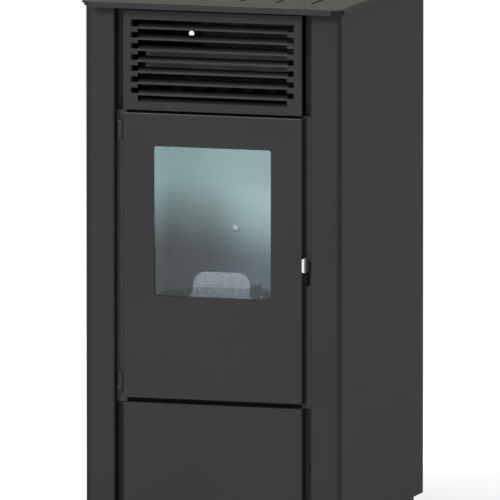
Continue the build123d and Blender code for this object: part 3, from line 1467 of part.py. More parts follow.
with BuildPart() as drawer_runners:
    for side in (-1, 1):
        wall = sorted((side * (box_half - runner_sheet), side * box_half))
        shelf = sorted((side * (box_half - runner_shelf), side * box_half))
        block(wall, (flange_back, box_behind), (pan_bottom - runner_sheet - touch_gap, box_bottom))
        block(shelf, (frame_back, box_behind),
              (pan_bottom - runner_sheet - touch_gap, pan_bottom - touch_gap))
save(drawer_runners, "drawer_runners")
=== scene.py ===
# %% [markdown]
# # Dressing a pellet stove
#
# The stove comes in as a finished engineering model: sixty pieces that already have their true shape, size
# and place. What is missing is what the eye goes by: powder coat, a sooted lining, tinted glass, bright
# chrome. This lesson adds those finishes one by one, makes the few small pieces that are better built here
# than in the engineering model, and sets the stove in a plain white studio.
#
# The first cell loads the model, and every later step works around its pieces. Nothing in it may be moved
# or reshaped, so every later step works around it.

import math

import bmesh
import bpy
from mathutils import Matrix, Vector


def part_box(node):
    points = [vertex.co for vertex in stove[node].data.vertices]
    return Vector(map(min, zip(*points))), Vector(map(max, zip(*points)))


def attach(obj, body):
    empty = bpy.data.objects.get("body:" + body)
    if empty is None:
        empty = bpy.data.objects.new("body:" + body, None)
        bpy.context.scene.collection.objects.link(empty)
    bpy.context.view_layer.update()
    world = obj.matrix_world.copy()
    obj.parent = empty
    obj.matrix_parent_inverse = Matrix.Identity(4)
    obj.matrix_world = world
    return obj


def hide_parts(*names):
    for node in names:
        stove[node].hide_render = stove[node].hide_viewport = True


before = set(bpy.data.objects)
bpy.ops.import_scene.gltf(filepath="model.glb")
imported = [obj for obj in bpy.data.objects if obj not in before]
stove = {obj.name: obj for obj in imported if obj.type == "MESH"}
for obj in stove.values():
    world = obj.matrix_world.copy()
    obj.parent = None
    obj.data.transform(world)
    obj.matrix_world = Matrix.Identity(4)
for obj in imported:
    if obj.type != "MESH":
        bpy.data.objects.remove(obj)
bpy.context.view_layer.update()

# %% [markdown]
# ## Where things are
#
# Blender counts in metres and a stove fitter in millimetres, so that unit gets a name. The model stands on
# the floor with its middle at zero. Places on it are read from its own pieces, because a number copied by
# hand would go wrong if the stove changed. The first is the front face of the pillars.

# %% Measure from the pillars' face
MILLIMETRE = 0.001
pillar_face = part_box("right_side_panel")[0].y
print("pillars' face, mm from the middle:", round(pillar_face / MILLIMETRE, 1))

# %% [markdown]
# ## The camera
#
# The picture was taken from the right and a little above, with the sides of the stove staying parallel. A
# photographer gets that by going far back with a very long lens. An orthographic camera would do it too,
# but a long lens behaves like a real one when it is moved to another side of the stove. It is aimed at one
# point of the front, from two angles and a distance.

# %% Set up a far camera with a long lens
VIEW_TURN = 17.45
VIEW_RISE = 7.49
VIEW_DISTANCE = 38.0
PICTURE_SIDE = 500
PIXELS_PER_METRE = 558.7
SENSOR = 36.0
AIM_RIGHT = 70.8 * MILLIMETRE
AIM_UP = 540.4 * MILLIMETRE


def toward(turn, rise):
    """A direction, in degrees: round from the front towards the right, and up."""
    turn, rise = math.radians(turn), math.radians(rise)
    return Vector((math.cos(rise) * math.sin(turn), -math.cos(rise) * math.cos(turn), math.sin(rise)))


def new_object(name, data):
    """A new object of the scene."""
    holder = bpy.data.objects.new(name, data)
    bpy.context.collection.objects.link(holder)
    return holder


def aimed(name, data, direction, distance, target):
    """A camera or lamp that looks back at the target."""
    holder = new_object(name, data)
    holder.location = target + direction * distance
    holder.rotation_euler = direction.to_track_quat("Z", "Y").to_euler()
    return holder


camera_data = bpy.data.cameras.new("studio_camera")
camera_data.sensor_width = SENSOR
camera_data.lens = SENSOR * VIEW_DISTANCE * PIXELS_PER_METRE / PICTURE_SIDE
camera_data.clip_end = 4 * VIEW_DISTANCE
aim = Vector((AIM_RIGHT, pillar_face, AIM_UP))
camera = aimed("studio_camera", camera_data, toward(VIEW_TURN, VIEW_RISE), VIEW_DISTANCE, aim)
bpy.context.scene.camera = camera
bpy.context.scene.view_settings.view_transform = "Standard"
print("lens, mm:", round(camera_data.lens), "camera height, m:", round(camera.location.z, 2))

# %% [markdown]
# ## Small helpers for shader nodes
#
# A finish is a graph of nodes. Written out in full, each node takes three or four lines, which hides the
# idea behind the typing. A few helpers shorten that. They all fill sockets in the same way: another node's
# output is wired in, and anything else is set as a value. Colours are linear light values, as shaders work
# with them.

# %% Helpers for shader nodes
WHITE = (1.0, 1.0, 1.0)


def fill(socket, value):
    """Wires another node's output into a socket, or sets a value there; colours are opaque."""
    if isinstance(value, bpy.types.NodeSocket):
        socket.id_data.links.new(value, socket)
    else:
        socket.default_value = (*value, 1.0) if socket.type == "RGBA" else value


def feed(node, **values):
    """Fills a node's sockets by name; an underscore stands for a space."""
    for name, value in values.items():
        fill(node.inputs[name.replace("_", " ")], value)


def add(tree, kind, options=None, **values):
    """Adds one shader node."""
    node = tree.nodes.new("ShaderNode" + kind)
    for option, value in (options or {}).items():
        setattr(node, option, value)
    feed(node, **values)
    return node


def in_order(tree, kind, *values, **options):
    """Adds a node, fills its sockets in their order and returns its outputs."""
    node = add(tree, kind, options)
    for socket, value in zip(node.inputs, values):
        fill(socket, value)
    return node.outputs


def count(tree, operation, *values):
    """A Math node's result."""
    return in_order(tree, "Math", *values, operation=operation)["Value"]


def product(tree, first, second):
    """Two values multiplied."""
    return count(tree, "MULTIPLY", first, second)


def between(tree, share, low, high):
    """A value between two others; the share is 0 at the first and 1 at the second."""
    return count(tree, "MULTIPLY_ADD", share, high - low, low)


def mix(tree, share, first, second, blend="MIX"):
    """A colour between two others."""
    node = add(tree, "Mix", {"data_type": "RGBA", "blend_type": blend})
    for number, value in ((0, share), (6, first), (7, second)):
        fill(node.inputs[number], value)
    return node.outputs[2]


def times(tree, colour, amount):
    """A colour made lighter or darker, by one amount or by one each for red, green and blue."""
    amounts = amount if isinstance(amount, tuple) else (amount, amount, amount)
    return mix(tree, 1.0, colour, amounts, "MULTIPLY")


def stretch(tree, value, low, high, to_low=0.0, to_high=1.0, ends="SMOOTHSTEP"):
    """Maps a range onto another, with soft ends unless told otherwise."""
    node = add(tree, "MapRange", {"interpolation_type": ends}, Value=value,
               From_Min=low, From_Max=high, To_Min=to_low, To_Max=to_high)
    return node.outputs["Result"]


def place_on(tree):
    """A point's own place on its piece, in metres, which stays the same when the piece moves."""
    return add(tree, "TexCoord").outputs["Object"]


def parts_of(tree):
    """The same place as three numbers: X, Y and Z."""
    return add(tree, "SeparateXYZ", Vector=place_on(tree)).outputs


SPAN = (0.3, 0.7)


def noise(tree, scale, detail, **values):
    """A soft random cloud, finer for a greater scale; nearly all its values lie within SPAN."""
    return add(tree, "TexNoise", Vector=place_on(tree), Scale=scale, Detail=detail, **values).outputs["Fac"]


print("node helpers ready")

# %% [markdown]
# ## The studio
#
# Catalogue pictures stand on white and are lit from everywhere, so that nothing burns out. Here a white
# world does most of it, which also leaves every narrow gap properly dark, as light from all sides hardly
# gets in there. One broad lamp at the front left, well above, gives the folds their direction, and four
# weaker ones fill in.
#
# A world that is bright enough to look white would also flood a dark stove with light. The Light Path node
# splits the two jobs: the camera, mirrors and glass see plain white, and all other light comes at a lower
# level. Light that has already fallen on something dull counts as other light too, whatever it passes
# through afterwards.

# %% White world, soft lamps
WORLD_LEVEL = 0.50
FIRST_BOUNCE = 0.5


def seen_directly(tree):
    """1 for what the camera, a mirror or glass looks at, and 0 for light that only falls on things."""
    rays = add(tree, "LightPath").outputs
    plain = count(tree, "MAXIMUM", rays["Is Camera Ray"], rays["Is Glossy Ray"])
    plain = count(tree, "MAXIMUM", plain, rays["Is Transmission Ray"])
    return product(tree, plain, count(tree, "LESS_THAN", rays["Diffuse Depth"], FIRST_BOUNCE))


world = bpy.data.worlds.new("studio_world")
bpy.context.scene.world = world
world.use_nodes = True
world.node_tree.nodes.clear()
tree = world.node_tree
level = between(tree, seen_directly(tree), WORLD_LEVEL, 1.0)
sky = add(tree, "Background", Color=WHITE, Strength=level)
add(tree, "OutputWorld", Surface=sky.outputs["Background"])

STOVE_MIDDLE = Vector((0.0, 0.0, 0.55))
WARM = (1.0, 0.955, 0.87)
COOL = (0.965, 0.975, 1.0)


def soft_lamp(name, turn, rise, distance, size, level, colour):
    """A square lamp; level is what it adds to the light of a white card."""
    lamp_data = bpy.data.lights.new(name, "AREA")
    lamp_data.shape = "SQUARE"
    lamp_data.size = size
    lamp_data.energy = level * (math.pi * distance) ** 2
    lamp_data.color = colour
    lamp = aimed(name, lamp_data, toward(turn, rise), distance, STOVE_MIDDLE)
    lamp.visible_camera = False
    lamp.visible_glossy = False
    print(name, "power, W:", round(lamp_data.energy))


soft_lamp("lamp_front", -34, 32, 7.0, 2.0, 0.55, COOL)
soft_lamp("lamp_right", 112, 12, 6.0, 2.5, 0.22, WARM)
soft_lamp("lamp_left", -115, 12, 6.0, 2.5, 0.10, COOL)
soft_lamp("lamp_back", 180, 20, 7.0, 2.5, 0.30, COOL)
soft_lamp("lamp_above", 10, 84, 6.0, 3.0, 0.30, WARM)

# %% [markdown]
# ## The floor
#
# The floor is pale and catches the shadow, so the stove stands on something. A lit floor is never quite as
# white as the background, and its far edge would show. So it gets a little light of its own, seen by the
# camera and in reflections only, and further out it fades to plain white.

# %% Lay the floor
FLOOR_HALF = 14.0
FLOOR_TONE = 0.8
FLOOR_LIFT = 0.24
FADE_FROM, FADE_TO = 0.9, 2.4


def mesh_object(name, drawing):
    """Turns a drawn mesh into an object of the scene."""
    mesh = bpy.data.meshes.new(name)
    drawing.to_mesh(mesh)
    drawing.free()
    return new_object(name, mesh)


def new_material(name):
    """An empty material and its node tree."""
    material = bpy.data.materials.new(name)
    material.use_nodes = True
    material.node_tree.nodes.clear()
    return material, material.node_tree


drawing = bmesh.new()
bmesh.ops.create_grid(drawing, x_segments=1, y_segments=1, size=1.0)
floor = mesh_object("studio_floor", drawing)
floor.data.transform(Matrix.Scale(FLOOR_HALF, 4))

floor_material, tree = new_material("studio_floor")
seen = seen_directly(tree)
matt = add(tree, "BsdfDiffuse", Color=(FLOOR_TONE, FLOOR_TONE, FLOOR_TONE)).outputs["BSDF"]
lift = product(tree, seen, FLOOR_LIFT)
glow = add(tree, "Emission", Color=WHITE, Strength=lift).outputs["Emission"]
lifted = in_order(tree, "AddShader", matt, glow)["Shader"]
white = add(tree, "Emission", Color=WHITE, Strength=1.0).outputs["Emission"]
position = add(tree, "NewGeometry").outputs["Position"]
reach = in_order(tree, "VectorMath", position, operation="LENGTH")["Value"]
share = product(tree, stretch(tree, reach, FADE_FROM, FADE_TO), seen)
add(tree, "OutputMaterial", Surface=in_order(tree, "MixShader", share, lifted, white)["Shader"])
floor.data.materials.append(floor_material)
print("floor, m across:", 2 * FLOOR_HALF)

# %% [markdown]
# ## Shared effects as node groups
#
# Several finishes need the same effects: edges that catch the light, the grain of baked powder, the flakes
# of zinc, a darkening that climbs from the fire bed, and a way to colour one stretch of a piece. Copied
# into every material, they would have to be changed many times. A node group is made once and used with
# its own values in each material, like a function. It only puts out colours, masks, values or normals that
# change over the surface; the shader itself stays in the material.

# %% A helper that opens a node group
KINDS = {"Colour": "Color", "Normal": "Vector", "Low": "Vector", "High": "Vector"}
SURFACE = ["Colour", "Roughness", "Height"]


def open_group(name, inputs, outputs):
    """A new group from its inputs with their usual values and its outputs; most are plain numbers."""
    group = bpy.data.node_groups.new(name, "ShaderNodeTree")
    for label, value in inputs.items():
        kind = KINDS.get(label, "Float")
        socket = group.interface.new_socket(label, in_out="INPUT", socket_type="NodeSocket" + kind)
        socket.default_value = (*value, 1.0) if kind == "Color" else value
    for label in outputs:
        kind = KINDS.get(label, "Float")
        group.interface.new_socket(label, in_out="OUTPUT", socket_type="NodeSocket" + kind)
    print("group", name, "puts out", ", ".join(outputs))
    return group, group.nodes.new("NodeGroupInput").outputs, group.nodes.new("NodeGroupOutput")


def use(tree, group, **values):
    """Places a group in a material and returns its outputs."""
    return add(tree, "Group", {"node_tree": group}, **values).outputs


print("group helpers ready")

# %% [markdown]
# ### Soft edges
#
# No sheet edge is razor sharp: a bent or painted one has a radius of half a millimetre or so, which draws
# the thin light line along it. Rounding every edge in the mesh would add a great many faces. The Bevel node
# bends the normals close to an edge while the picture is made, and leaves the shape alone. Where its normal
# and the true one differ, there is an edge.

# %% The soft_edges group
EDGE_FROM, EDGE_TO = 0.01, 0.16

tree, entry, result = open_group("soft_edges", {"Radius": 0.0007}, ["Normal", "Edge"])
bent = add(tree, "Bevel", {"samples": 4}, Radius=entry["Radius"]).outputs["Normal"]
flat = add(tree, "NewGeometry").outputs["Normal"]
agreement = in_order(tree, "VectorMath", bent, flat, operation="DOT_PRODUCT")["Value"]
difference = count(tree, "SUBTRACT", 1.0, agreement)
feed(result, Normal=bent, Edge=stretch(tree, difference, EDGE_FROM, EDGE_TO))
soft_edges = tree

# %% [markdown]
# ### Powder grain
#
# Powder coat is sprayed on dry and melted in an oven. It sets with a fine pebbled skin and tiny lighter
# flecks, which read as a soft speckle from a metre away. An image of it would repeat and needs a file.
# Noise in the piece's own coordinates never repeats and stays on the piece when a door swings.

# %% The powder_grain group
FLECK_FINENESS = 1.3
FLECK_TINT = (1.9, 1.9, 1.95)
DRIFT_TINT = 0.94

tree, entry, result = open_group(
    "powder_grain", {"Colour": (0.05, 0.05, 0.05), "Pebble": 0.0011, "Fleck": 0.5}, SURFACE)
density = count(tree, "DIVIDE", 1.0, entry["Pebble"])
pebbles = noise(tree, density, 2.0)
speckle = noise(tree, product(tree, density, FLECK_FINENESS), 1.0)
drift = stretch(tree, noise(tree, 5.0, 3.0), 0.35, 0.65)
uneven = mix(tree, drift, times(tree, entry["Colour"], DRIFT_TINT), entry["Colour"])
flecks = product(tree, stretch(tree, speckle, 0.56, 0.74), entry["Fleck"])
lighter = times(tree, entry["Colour"], FLECK_TINT)
feed(result, Colour=mix(tree, flecks, uneven, lighter),
     Roughness=stretch(tree, pebbles, 0.25, 0.75, 0.5, 0.72), Height=pebbles)
powder_grain = tree

# %% [markdown]
# ### Zinc flakes
#
# Hot-dip galvanised sheet shows flat crystals a centimetre or so across, each a slightly different grey.
# Voronoi cells suit that: one random value for each cell gives the flake its tone and its polish. A little
# noise stands for the handling marks that sheet picks up in a workshop.

# %% The zinc_flakes group
DULL_TINT = (0.68, 0.69, 0.72)

tree, entry, result = open_group("zinc_flakes", {"Colour": (0.42, 0.43, 0.44), "Flake": 0.012}, SURFACE)
density = count(tree, "DIVIDE", 1.0, entry["Flake"])
cells = add(tree, "TexVoronoi", Vector=place_on(tree), Scale=density)
tone = add(tree, "SeparateColor", Color=cells.outputs["Color"]).outputs["Red"]
marks = noise(tree, 60.0, 5.0)
handled = stretch(tree, marks, 0.55, 0.8, 0.0, 0.4)
dull = times(tree, entry["Colour"], DULL_TINT)
flaked = mix(tree, tone, dull, entry["Colour"])
feed(result, Colour=mix(tree, handled, flaked, dull),
     Roughness=stretch(tree, tone, 0.0, 1.0, 0.32, 0.5), Height=marks)
zinc_flakes = tree

# %% [markdown]
# ### Darker by height
#
# Some surfaces get darker by height: dark close to the fire bed and lighter above it, never along a
# straight line. The group compares the height with two levels, lets noise push the border up and down, and
# puts out how dark a point is. Right of `From`, the dark level drops by `Lean` for each metre.

# %% The group that darkens by height
BILLOW = 0.01

tree, entry, result = open_group(
    "dark_below_line", {"Dark Below": 0.5, "Clean Above": 0.6, "Lean": 0.0, "From": 0.0}, ["Soot"])
parts = parts_of(tree)
cloud = noise(tree, 7.0, 2.0, Roughness=0.4)
height = count(tree, "ADD", parts["Z"], between(tree, cloud, -BILLOW, BILLOW))
past = count(tree, "MAXIMUM", count(tree, "SUBTRACT", parts["X"], entry["From"]), 0.0)
drop = product(tree, past, entry["Lean"])
dark_level = count(tree, "SUBTRACT", entry["Dark Below"], drop)
feed(result, Soot=stretch(tree, height, dark_level, entry["Clean Above"], 1.0, 0.0))
dark_below_line = tree

# %% [markdown]
# ### Which way a face looks
#
# The pillars are bent with a wide round fold, and the fold gets a painted shade. A painter would mask the
# folds off by hand. Here the piece's own normal finds them: on a flat front or side one of its two level
# parts is zero, and only on a round fold are both large. The painted shade starts sooner on the left folds,
# where less light falls. The same normal tells a front from a flank and from a top, and finds the round
# shoulders that look half up.

# %% The facing group
# How strongly a round fold counts for the painted shade, and how much more on the left.
FOLD_POWER, FOLD_GAIN, LEFT_SHADE_GAIN = 2.5, 2.8, 2.6

tree, entry, result = open_group("facing", {}, ["Fold", "Flank", "Shoulder", "Top"])
normal = add(tree, "SeparateXYZ", Vector=add(tree, "TexCoord").outputs["Normal"]).outputs
sideways = count(tree, "ABSOLUTE", normal["X"])
forward = count(tree, "ABSOLUTE", normal["Y"])
leftward = count(tree, "MAXIMUM", product(tree, normal["X"], -1.0), 0.0)
wide = product(tree, count(tree, "POWER", sideways, FOLD_POWER), FOLD_GAIN)
bend = count(tree, "MULTIPLY_ADD", leftward, LEFT_SHADE_GAIN, wide)
half_up = stretch(tree, normal["Z"], 0.05, 0.4)
not_flat = stretch(tree, normal["Z"], 0.8, 0.97, 1.0, 0.0)
feed(result,
     Fold=count(tree, "MINIMUM", product(tree, bend, forward), 1.0),
     Flank=stretch(tree, sideways, 0.45, 0.85),
     Shoulder=product(tree, half_up, not_flat),
     Top=stretch(tree, normal["Z"], 0.5, 0.9))
facing = tree

# %% [markdown]
# ### A stretch of a piece
#
# Some pieces are one solid in the engineering model but several materials in life: a foot is a rubber pad
# under a zinc stud, and a circuit board is a green card under black parts. Cutting the mesh isn't allowed
# and isn't needed. This group answers 1 inside a box and 0 outside it, so one material can hold both
# finishes.

# %% The stretch_of group
FAR = 1.0

tree, entry, result = open_group(
    "stretch_of", {"Low": (0.0, 0.0, 0.0), "High": (FAR, FAR, FAR)}, ["Inside"])
own = parts_of(tree)
inside = 1.0
for limit, operation in (("Low", "GREATER_THAN"), ("High", "LESS_THAN")):
    edge = add(tree, "SeparateXYZ", Vector=entry[limit]).outputs
    for axis in "XYZ":
        passed = count(tree, operation, own[axis], edge[axis])
        inside = product(tree, inside, passed)
feed(result, Inside=inside)
stretch_of = tree

# %% [markdown]
# ## Finishes
#
# Every finish below starts the same way: a new material with one Principled shader. A value that is the
# same all over, such as how metallic zinc is, is set on the shader itself. Only what varies over the
# surface comes in through a wire.

# %% Start a finish, give it to pieces
def new_finish(name, **constants):
    """A material with a Principled shader; returns the material, its tree and the shader."""
    material, tree = new_material(name)
    shader = add(tree, "BsdfPrincipled", **constants)
    add(tree, "OutputMaterial", Surface=shader.outputs["BSDF"])
    return material, tree, shader


def bumped(tree, height, distance, normal=None):
    """A normal that follows a height, in metres, laid over another normal."""
    node = add(tree, "Bump", Distance=distance, Height=height)
    if normal is not None:
        feed(node, Normal=normal)
    return node.outputs["Normal"]


finished = set()


def give(material, *names):
    """Puts a finish on pieces of the engineering model, and notes them down."""
    for name in names:
        for holder in stove[name].material_slots:
            holder.material = material
        finished.add(name)
    print(material.name, "->", ", ".join(names))


print("finish helpers ready")

# %% [markdown]
# ### Powder coat
#
# All the casing wears the same neutral dark grey powder coat, matt and with a fine speckle. It hardly
# mirrors, so its specular level is low; otherwise the white studio would wash out the side, which is seen
# at a flat angle. One function makes every shade of it, because only the colour and a few amounts differ.
#
# Some light and shade is painted into the coat's colour. The round folds get a painted shade, and the
# sharp edges a painted highlight. A painted highlight on the door's round upper shoulder draws the thin
# line over it. Faces that look up or sideways are painted a warmer grey, the sides also darker, as lamps
# would light them. The surround gets a painted shade, nearly black behind the gaps over and under the
# door and dark in the gap beside it; elsewhere its coat and the front frame's are painted lighter, against
# the shade they stand in. The blades of the grille get a painted shade towards their rear edge, and the
# area of blades a little painted light, lighter than the sheet round it. The hopper, deep inside, only has
# a mid-grey primer.

# %% Coat the casing
COAT_GREY = (0.0415, 0.0415, 0.0430)
# Painted light: sides painted darker and warmer, tops warmer, as the lamps would light them.
SIDE_LIGHT_TINT = (0.71, 0.69, 0.59)
TOP_LIGHT_TINT = (1.03, 0.95, 0.76)
# Painted shade on the round folds.
FOLD_SHADE_SHARE, FOLD_SHADE = 0.62, 0.35
# Painted highlights: sharp edges and the door's round upper shoulder are painted lighter.
EDGE_GLINT, SHOULDER_GLINT, SHADE_TINT = 1.6, 2.6, 0.01
SHADE_DEPTH, SHADE_LEFT, SHADE_POWER = 0.009, 0.12, 2.3


def powder_coat(name, colour, fleck=0.5, edge_glint=0.35, shine=0.06, shoulder_glint=0.0,
                flank_light_tint=None, top_light_tint=None, stretches=(), shaded_behind=None):
    """A powder coat. Each stretch is (low corner, high corner, how much lighter or darker it is)."""
    material, tree, shader = new_finish(name, Specular_IOR_Level=shine)
    edges = use(tree, soft_edges, Radius=0.0008)
    turned = use(tree, facing)
    grain = use(tree, powder_grain, Colour=colour, Pebble=0.0012, Fleck=fleck)
    coat = bare = grain["Colour"]
    for mask, share, tint in (
        (turned["Fold"], FOLD_SHADE_SHARE, FOLD_SHADE),
        (turned["Flank"], 1.0, flank_light_tint),
        (turned["Top"], 1.0, top_light_tint),
        (edges["Edge"], edge_glint, EDGE_GLINT),
        (turned["Shoulder"], shoulder_glint, SHOULDER_GLINT),
    ):
        if share and tint:
            coat = mix(tree, product(tree, mask, share), coat, times(tree, bare, tint))
    for low, high, amount in stretches:
        inside = use(tree, stretch_of, Low=low, High=high)["Inside"]
        coat = mix(tree, inside, coat, times(tree, coat, amount))
    # Painted shade: the coat darkens the deeper a point lies behind the given face.
    if shaded_behind is not None:
        unshaded = stretch(tree, parts_of(tree)["Y"], shaded_behind, shaded_behind + SHADE_DEPTH,
                            1.0, SHADE_LEFT, "LINEAR")
        unshaded = count(tree, "POWER", unshaded, SHADE_POWER)
        coat = mix(tree, unshaded, times(tree, bare, SHADE_TINT), coat)
    feed(shader, Base_Color=coat, Roughness=grain["Roughness"],
         Normal=bumped(tree, grain["Height"], 0.00012, edges["Normal"]))
    return material


# Painted shade on the surround behind the gaps over, under and beside the door.
GAP_REACH, GAP_END, GAP_SHADE = 0.016, 0.004, 0.12
SIDE_GAP, SIDE_GAP_SHADE = 0.0035, 0.4
# Painted light: the grille's area of blades is painted a little lighter than the sheet round it.
FIELD_END, FIELD_FOOT, FIELD_HEAD, FIELD_LIGHT = 0.028, 0.018, 0.031, 1.24

low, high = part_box("door_cover")
gap_shades = [((0.0, -FAR, low.z), (high.x + SIDE_GAP, FAR, high.z), SIDE_GAP_SHADE)]
for height in (low.z, high.z):
    gap_shades.append(((low.x + GAP_END, -FAR, height - GAP_REACH),
                        (high.x - GAP_END, FAR, height + GAP_REACH), GAP_SHADE))
low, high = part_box("front_grille")
lit_field = ((low.x + FIELD_END, -FAR, low.z + FIELD_FOOT),
         (high.x - FIELD_END, FAR, high.z - FIELD_HEAD), FIELD_LIGHT)

give(powder_coat("front_coat", COAT_GREY), "lower_panel", "base_frame")
give(powder_coat("grille_coat", COAT_GREY, edge_glint=0.9, stretches=[lit_field],
                 shaded_behind=pillar_face + MILLIMETRE), "front_grille")
give(powder_coat("door_coat", COAT_GREY, shoulder_glint=1.0), "door_cover")
give(powder_coat("side_coat", (0.0408, 0.0408, 0.0440), shine=0.05, flank_light_tint=SIDE_LIGHT_TINT),
     "left_side_panel", "right_side_panel")
give(powder_coat("top_coat", COAT_GREY, flank_light_tint=SIDE_LIGHT_TINT, top_light_tint=TOP_LIGHT_TINT),
     "top_plate", "hopper_lid", "lid_hinge_brackets")
# Painted light: the surround and the front frame get a lighter coat than the front, against their shade.
give(powder_coat("surround_coat", (0.0650, 0.0650, 0.0670), stretches=gap_shades), "door_surround")
give(powder_coat("frame_coat", (0.0750, 0.0750, 0.0770)), "front_frame", "hinge_brackets")
give(powder_coat("primer", (0.1300, 0.1300, 0.1340), fleck=0.2), "hopper")

# %% [markdown]
# ### Galvanised sheet
#
# Everything that is hidden in use is left as plain galvanised sheet: the rear panel, the ducts, the ash
# pan. It is a metal, so its colour is the colour of its reflection.

# %% Galvanise the hidden sheet
galvanised, tree, shader = new_finish("galvanised", Metallic=1.0)
edges = use(tree, soft_edges, Radius=0.0005)
flakes = use(tree, zinc_flakes, Colour=(0.42, 0.43, 0.45), Flake=0.011)
feed(shader, Base_Color=flakes["Colour"], Roughness=flakes["Roughness"],
     Normal=bumped(tree, flakes["Height"], 0.00006, edges["Normal"]))
give(galvanised, "rear_panel", "air_duct", "air_intake_tube", "blower_housing", "blower_rotor",
     "ash_pan", "drawer_runners")

# %% [markdown]
# ### Heat-resistant paint
#
# The steel round the fire is sprayed with a black silicate paint, flatter than powder coat, which greys
# where it has been hottest. A slow noise mixes the two tones, and a fine one gives the sprayed surface.

# %% Paint the hot steel
def heat_paint(name, colour, greyed, cast=0.00012):
    """A sprayed paint that has greyed in the heat; `cast` is how deep the surface under it is."""
    material, tree, shader = new_finish(name, Specular_IOR_Level=0.3)
    edges = use(tree, soft_edges, Radius=0.0008)
    spray = noise(tree, 700.0, 3.0)
    tone = mix(tree, stretch(tree, noise(tree, 14.0, 5.0), 0.42, 0.72), colour, greyed)
    # Painted highlight: the edges are painted a third of the way towards the lighter grey.
    feed(shader, Base_Color=mix(tree, product(tree, edges["Edge"], 0.3), tone, greyed),
         Roughness=stretch(tree, spray, *SPAN, 0.6, 0.85),
         Normal=bumped(tree, spray, cast, edges["Normal"]))
    return material


give(heat_paint("hot_steel", (0.020, 0.020, 0.021), (0.055, 0.052, 0.05)),
     "auger_tube", "exhaust_housing", "burn_pot_support")
give(heat_paint("deflector_steel", (0.064, 0.064, 0.067), (0.100, 0.098, 0.097)), "air_deflector")
# Painted shade: the heat tubes and the fire box shell are nearly black, for the shade deep behind the
# slots.
give(heat_paint("tube_steel", (0.006, 0.006, 0.0065), (0.012, 0.012, 0.012)), "heat_tubes", "firebox_shell")
give(heat_paint("cast_iron", (0.024, 0.024, 0.026), (0.045, 0.045, 0.047), cast=0.0003), "door_frame")

# %% [markdown]
# ### The lining of the fire
#
# Behind the glass the fire is lined with smooth pressed panels with a pale sea-green cast. They stay pale
# high up and are darker low down, below a wide border that a group finds and that lies a little lower on
# the right. The panel's own unevenness is a large, soft noise, because a smaller grain would look like
# stone. Close to the top the panels get painted light, a shade paler against the shade under the door
# frame, and they are painted a little lighter towards the right, where more light falls. The foot is a
# lighter, bluer tone, and the side panels are painted paler altogether, as less light reaches them.

# %% Line the fire
DARK_BORDER = {"Dark_Below": 0.510, "Clean_Above": 0.645, "Lean": 0.50, "From": -0.02}
LIT_TOP_FROM, LIT_TOP_TO, LIT_TOP_TINT = 0.585, 0.665, 1.3
FOOT_FROM, FOOT_TO, FOOT_TINT = 0.445, 0.515, (1.30, 1.40, 1.46)
LIT_SLANT_HALF, LIT_SLANT = 0.12, 0.04


def lining(name, upper_tone, shadowed, lower_tone):
    """A pressed fire lining: pale above, darker below."""
    material, tree, shader = new_finish(name, Specular_IOR_Level=0.3)
    edges = use(tree, soft_edges, Radius=0.0010)
    place = parts_of(tree)
    pale = mix(tree, stretch(tree, noise(tree, 9.0, 3.0), *SPAN), shadowed, upper_tone)
    # Painted light: paler near the top, against the shade under the door frame, and lighter towards the
    # right.
    lit_top = stretch(tree, place["Z"], LIT_TOP_FROM, LIT_TOP_TO)
    pale = mix(tree, lit_top, pale, times(tree, pale, LIT_TOP_TINT))
    right = stretch(tree, place["X"], -LIT_SLANT_HALF, LIT_SLANT_HALF)
    pale = mix(tree, right, times(tree, pale, 1 - LIT_SLANT), times(tree, pale, 1 + LIT_SLANT))
    dust = stretch(tree, noise(tree, 160.0, 4.0), *SPAN)
    dark = mix(tree, dust, lower_tone, times(tree, lower_tone, 1.06))
    above_foot = stretch(tree, place["Z"], FOOT_FROM, FOOT_TO)
    dark = mix(tree, above_foot, times(tree, dark, FOOT_TINT), dark)
    below_border = use(tree, dark_below_line, **DARK_BORDER)["Soot"]
    feed(shader, Base_Color=mix(tree, below_border, pale, dark),
         Roughness=between(tree, dust, 0.56, 0.62), Normal=edges["Normal"])
    return material


give(lining("back_lining", (0.55, 0.70, 0.705), (0.52, 0.67, 0.675), (0.096, 0.136, 0.158)),
     "back_liner", "baffle")
# Painted light: the side panels are painted paler than the back, as less light reaches them.
give(lining("side_lining", (0.66, 0.83, 0.86), (0.63, 0.80, 0.83), (0.130, 0.165, 0.175)), "side_liners")

# %% [markdown]
# ### Sheet steel of the burn pot
#
# The burn pot is bare stainless sheet, matt and bluish grey with a fine mottle. It is metal, but heat has
# dulled it, so it is kept rough. The cup that holds the embers is darker than the plate behind it, and the
# height of its rim splits the two. The other bare steel comes from the same function.

# %% Bare steel
POT_RIM = 463 * MILLIMETRE
CUP_TINT = (0.70, 0.75, 0.77)


def bare_steel(name, colour, roughness=0.45, mottle=0.35, scale=260.0, darker_below=None):
    """Plain sheet or turned steel, mottled a little."""
    material, tree, shader = new_finish(name, Metallic=1.0)
    edges = use(tree, soft_edges, Radius=0.0006)
    spots = noise(tree, scale, 4.0)
    tone = mix(tree, stretch(tree, spots, 0.35, 0.65), times(tree, colour, 1.0 - mottle), colour)
    if darker_below is not None:
        low = use(tree, stretch_of, Low=(-FAR, -FAR, 0.0), High=(FAR, FAR, darker_below))["Inside"]
        tone = mix(tree, low, tone, times(tree, tone, CUP_TINT))
    feed(shader, Base_Color=tone,
         Roughness=stretch(tree, spots, *SPAN, roughness - 0.08, roughness + 0.1),
         Normal=bumped(tree, spots, 0.00005, edges["Normal"]))
    return material


